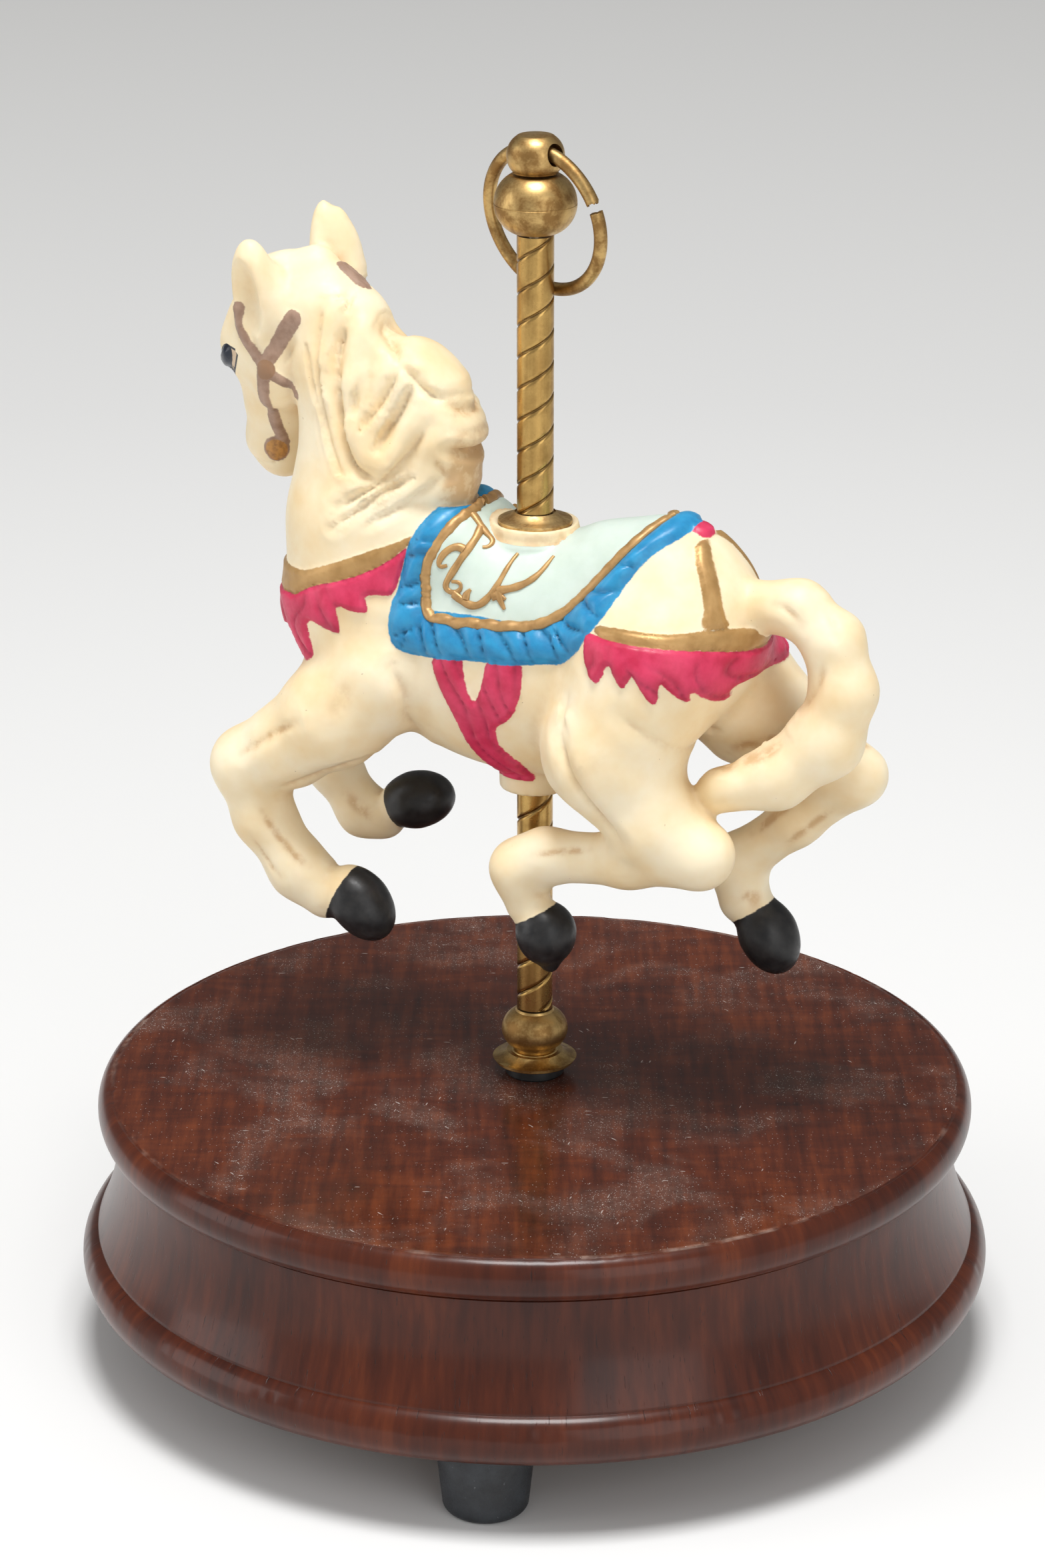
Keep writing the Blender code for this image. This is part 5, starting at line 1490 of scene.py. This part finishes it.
def porcelain_material():
    """Cream bisque that turns tan in its hollows, painted shade in the tack's creases and folds, and every
    painted colour of the tack.
    """
    paint = Shader(
        "painted_bisque",
        Subsurface_Weight=0.10,
        Subsurface_Scale=0.0012,
        Specular_IOR_Level=0.38,
    )
    paint.surface.inputs["Subsurface Radius"].default_value = (1.0, 0.55, 0.3)
    cloud = paint.noise(0.075, 4.0)
    fine = paint.noise(1.4, 5.0)
    wobble = paint.times(paint.minus(paint.noise(0.9, 3.0), 0.5), 0.5)
    cream = paint.ramp(
        cloud,
        (0.34, (0.84, 0.645, 0.37)),
        (0.50, (0.875, 0.725, 0.475)),
        (0.64, (0.90, 0.785, 0.565)),
    )
    uneven = paint.times(paint.minus(paint.noise(0.35, 4.0), 0.5), 0.35)
    hollow = paint.plus(paint.read("hollow"), uneven)
    cream = paint.mix(paint.step(hollow, -0.05, 0.70), cream, (0.60, 0.375, 0.165))
    # Brown in the grooves, together with the painted shadow line at the boss's foot.
    wash_and_shade = paint.times(paint.read("wash_and_shade"), paint.step(paint.noise(0.45, 4.0), 0.34, 0.62, 0.45, 1.1))
    cream = paint.mix(paint.step(wash_and_shade, 0.0, 1.0, 0.0, 0.72), cream, (0.56, 0.325, 0.135))
    flecks = paint.step(paint.noise(1.1, 2.0), 0.765, 0.79)
    cream = paint.mix(paint.times(flecks, 0.5), cream, (0.30, 0.18, 0.09))
    colour = cream
    roughness = paint.step(fine, 0.3, 0.7, 0.42, 0.56)
    metal = None

    def inside(field, start=-0.10, end=0.14):
        return paint.step(paint.plus(paint.read(field), wobble), start, end)

    def shade(light, dark, scale=0.5):
        return paint.ramp(paint.noise(scale, 4.0), (0.35, dark), (0.62, light))

    blue = shade((0.030, 0.300, 0.560), (0.016, 0.205, 0.430), 0.25)
    mint = shade((0.615, 0.705, 0.635), (0.55, 0.645, 0.565), 0.15)
    gold = shade((0.50, 0.30, 0.115), (0.41, 0.235, 0.082), 0.35)
    pink = shade((0.665, 0.045, 0.120), (0.52, 0.020, 0.070), 0.25)
    taupe = shade((0.40, 0.265, 0.195), (0.29, 0.18, 0.125), 0.5)
    ochre = shade((0.52, 0.26, 0.07), (0.30, 0.14, 0.045), 1.1)
    black = shade((0.022, 0.021, 0.021), (0.008, 0.008, 0.009), 0.4)
    for field, tone, rough in (
        ("pink", pink, 0.42),
        ("gold", gold, 0.40),
        ("cloth", blue, 0.34),
        ("cloth_field", mint, 0.46),
        ("taupe", taupe, 0.45),
        ("buckle", (0.30, 0.17, 0.095), 0.40),
        ("ochre", ochre, 0.40),
        ("eye_corner", (0.62, 0.47, 0.32), 0.40),
        ("hoof", black, 0.38),
        ("eye", (0.010, 0.014, 0.026), 0.10),
    ):
        share = inside(field)
        if field == "eye_corner":
            outline = paint.step(paint.math("ABSOLUTE", paint.read(field)), 0.10, 0.26, 1.0, 0.0)
            colour = paint.mix(outline, colour, (0.035, 0.035, 0.045))
            share = paint.step(paint.read(field), 0.08, 0.2)
        elif field == "eye":
            share = paint.step(paint.read(field), -0.05, 0.05)
        colour = paint.mix(share, colour, tone)
        value = paint.step(fine, 0.3, 0.7, rough - 0.05, rough + 0.08)
        roughness = paint.blend(share, roughness, value)
        if field == "gold":
            metal = paint.times(share, 0.35)
        elif metal is not None:
            metal = paint.times(metal, paint.minus(1.0, share))
    # Painted shade in the blanket's flute creases and the fringes' folds.
    shadowed = paint.mix(1.0, colour, (0.25, 0.25, 0.30), "MULTIPLY")
    colour = paint.mix(paint.times(paint.read("shaded_crease"), 0.68), colour, shadowed)
    rub = paint.step(paint.noise(0.8, 5.0, roughness=0.7), 0.70, 0.78)
    colour = paint.mix(paint.times(rub, 0.10), colour, (0.85, 0.78, 0.66))
    height = paint.plus(paint.times(fine, 0.5), cloud)
    normal = paint.bump(height, 0.05, 0.25)
    return paint.link(Base_Color=colour, Roughness=roughness, Metallic=metal, Normal=normal)


# ---------------------------------------------------------------- stage


def facing(place, direction):
    """A matrix that puts a camera or a lamp at a place and points it in a direction."""
    return Matrix.Translation(place) @ direction.to_track_quat("-Z", "Y").to_matrix().to_4x4()


def make_camera():
    right = Vector((cos(CAMERA_AZIMUTH), sin(CAMERA_AZIMUTH), 0))
    away = Vector((-sin(CAMERA_AZIMUTH), cos(CAMERA_AZIMUTH), 0))
    ahead = away * cos(CAMERA_PITCH) - Vector((0, 0, sin(CAMERA_PITCH)))
    aim = right * CAMERA_AIM[0] + Vector((0, 0, CAMERA_AIM[1]))
    data = bpy.data.cameras.new("camera")
    data.lens = CAMERA_LENS
    data.sensor_fit = "AUTO"
    data.sensor_width = CAMERA_SENSOR
    data.clip_start = 0.01
    camera = bpy.data.objects.new("camera", data)
    camera.matrix_world = facing(aim - ahead * CAMERA_DISTANCE, ahead)
    bpy.context.scene.collection.objects.link(camera)
    bpy.context.scene.camera = camera


def softbox(name, place, size, power):
    data = bpy.data.lights.new(name, "AREA")
    data.shape = "RECTANGLE"
    data.size, data.size_y = size
    data.energy = power
    lamp = bpy.data.objects.new(name, data)
    place = Vector(place)
    lamp.matrix_world = facing(place, Vector((0, 0, LAMP_AIM_HEIGHT)) - place)
    bpy.context.scene.collection.objects.link(lamp)


def make_stage():
    steps = 128
    angles = [tau * step / steps for step in range(steps)]
    rim = [(FLOOR_R * cos(angle), FLOOR_R * sin(angle), 0.0) for angle in angles]
    wedges = [(0, 1 + step, 1 + (step + 1) % steps) for step in range(steps)]
    floor = mesh_piece("floor", [(0.0, 0.0, 0.0), *rim], wedges, floor_material())
    softbox("overhead", (0.10, -0.20, 1.30), (0.42, 0.42), 13.5)
    softbox("left", (-1.25, -0.75, 0.50), (0.8, 1.1), 5.0)
    softbox("right", (1.05, -0.85, 0.50), (0.8, 1.1), 4.2)
    world = bpy.data.worlds.new("studio")
    world.use_nodes = True
    tree = world.node_tree
    place = tree.nodes.new("ShaderNodeTexCoord")
    across = tree.nodes.new("ShaderNodeVectorMath")
    across.operation = "DOT_PRODUCT"
    across.inputs[1].default_value = (-sin(CAMERA_AZIMUTH), cos(CAMERA_AZIMUTH), 0.0)
    tree.links.new(place.outputs["Generated"], across.inputs[0])
    fade = tree.nodes.new("ShaderNodeMapRange")
    for index, value in ((1, -0.1), (2, 0.7), (3, 0.56), (4, 0.20)):
        fade.inputs[index].default_value = value
    tree.links.new(across.outputs["Value"], fade.inputs[0])
    backdrop = tree.nodes["Background"]
    backdrop.inputs[0].default_value = (0.89, 0.885, 0.875, 1.0)
    tree.links.new(fade.outputs[0], backdrop.inputs[1])
    bpy.context.scene.world = world
    bpy.context.scene.view_settings.view_transform = "Standard"


# ---------------------------------------------------------------- everything together


def carried_over(materials):
    """Gives every CAD piece that stays in view the material of its record slot."""
    for part in frame["record"]["subparts"]:
        node = frame["nodes"][part["node"]]
        finish = materials[part["material_slot"]]
        if not node.data.materials:
            node.data.materials.append(finish)
        for slot in node.material_slots:
            slot.material = finish


make_camera()
make_stage()
wood = mahogany_material()
rubber = rubber_material()
bush = plain_material("black_nylon", (0.006, 0.006, 0.006), (0.020, 0.020, 0.021), 0.0, 0.38)
steel = plain_material("turned_steel", (0.42, 0.42, 0.43), (0.72, 0.72, 0.73), 1.0, 0.26, 1.6, (1, 1, 0.2))
spring_steel = plain_material("blued_steel", (0.09, 0.11, 0.17), (0.24, 0.27, 0.36), 1.0, 0.24, 1.4)
zinc = plain_material("cast_zinc", (0.38, 0.38, 0.37), (0.60, 0.60, 0.585), 0.9, 0.40, 1.1)
board = plain_material("hardboard", (0.13, 0.075, 0.040), (0.25, 0.155, 0.088), 0.0, 0.62, 2.4)
pole_brass = brass_material("pole_brass", (0.50, 0.315, 0.105), 0.24, 0.35)
# The saddle flange's brass: rougher for its matte finish, with a lighter tint as painted light, because the
# flange is lit lighter than the other brass.
matt_brass_lit_lighter = brass_material("matt_brass_lit_lighter", (0.62, 0.44, 0.20), 0.42, 0.0, 0.06)
dull_brass = brass_material("dull_brass", (0.56, 0.375, 0.150), 0.34, 0.0, 0.10)
bright_brass = brass_material("bright_brass", (0.60, 0.405, 0.155), 0.26, 0.0)
carried_over(
    {
        "mahogany": wood,
        "board": board,
        "rubber": rubber,
        "bush": bush,
        "steel": steel,
        "spring_steel": spring_steel,
        "zinc": zinc,
        "brass": bright_brass,
        "bisque": board,
    }
)
make_base(wood, rubber, bush)
make_pole(pole_brass, dull_brass, matt_brass_lit_lighter, bright_brass)
make_ring(dull_brass)
skin_vertices, skin_quads = make_horse(porcelain_material())
painted_gold = plain_material("painted_gold", (0.34, 0.185, 0.065), (0.56, 0.335, 0.13), 0.35, 0.34, 0.6)
make_trim(skin_vertices, skin_quads, painted_gold)
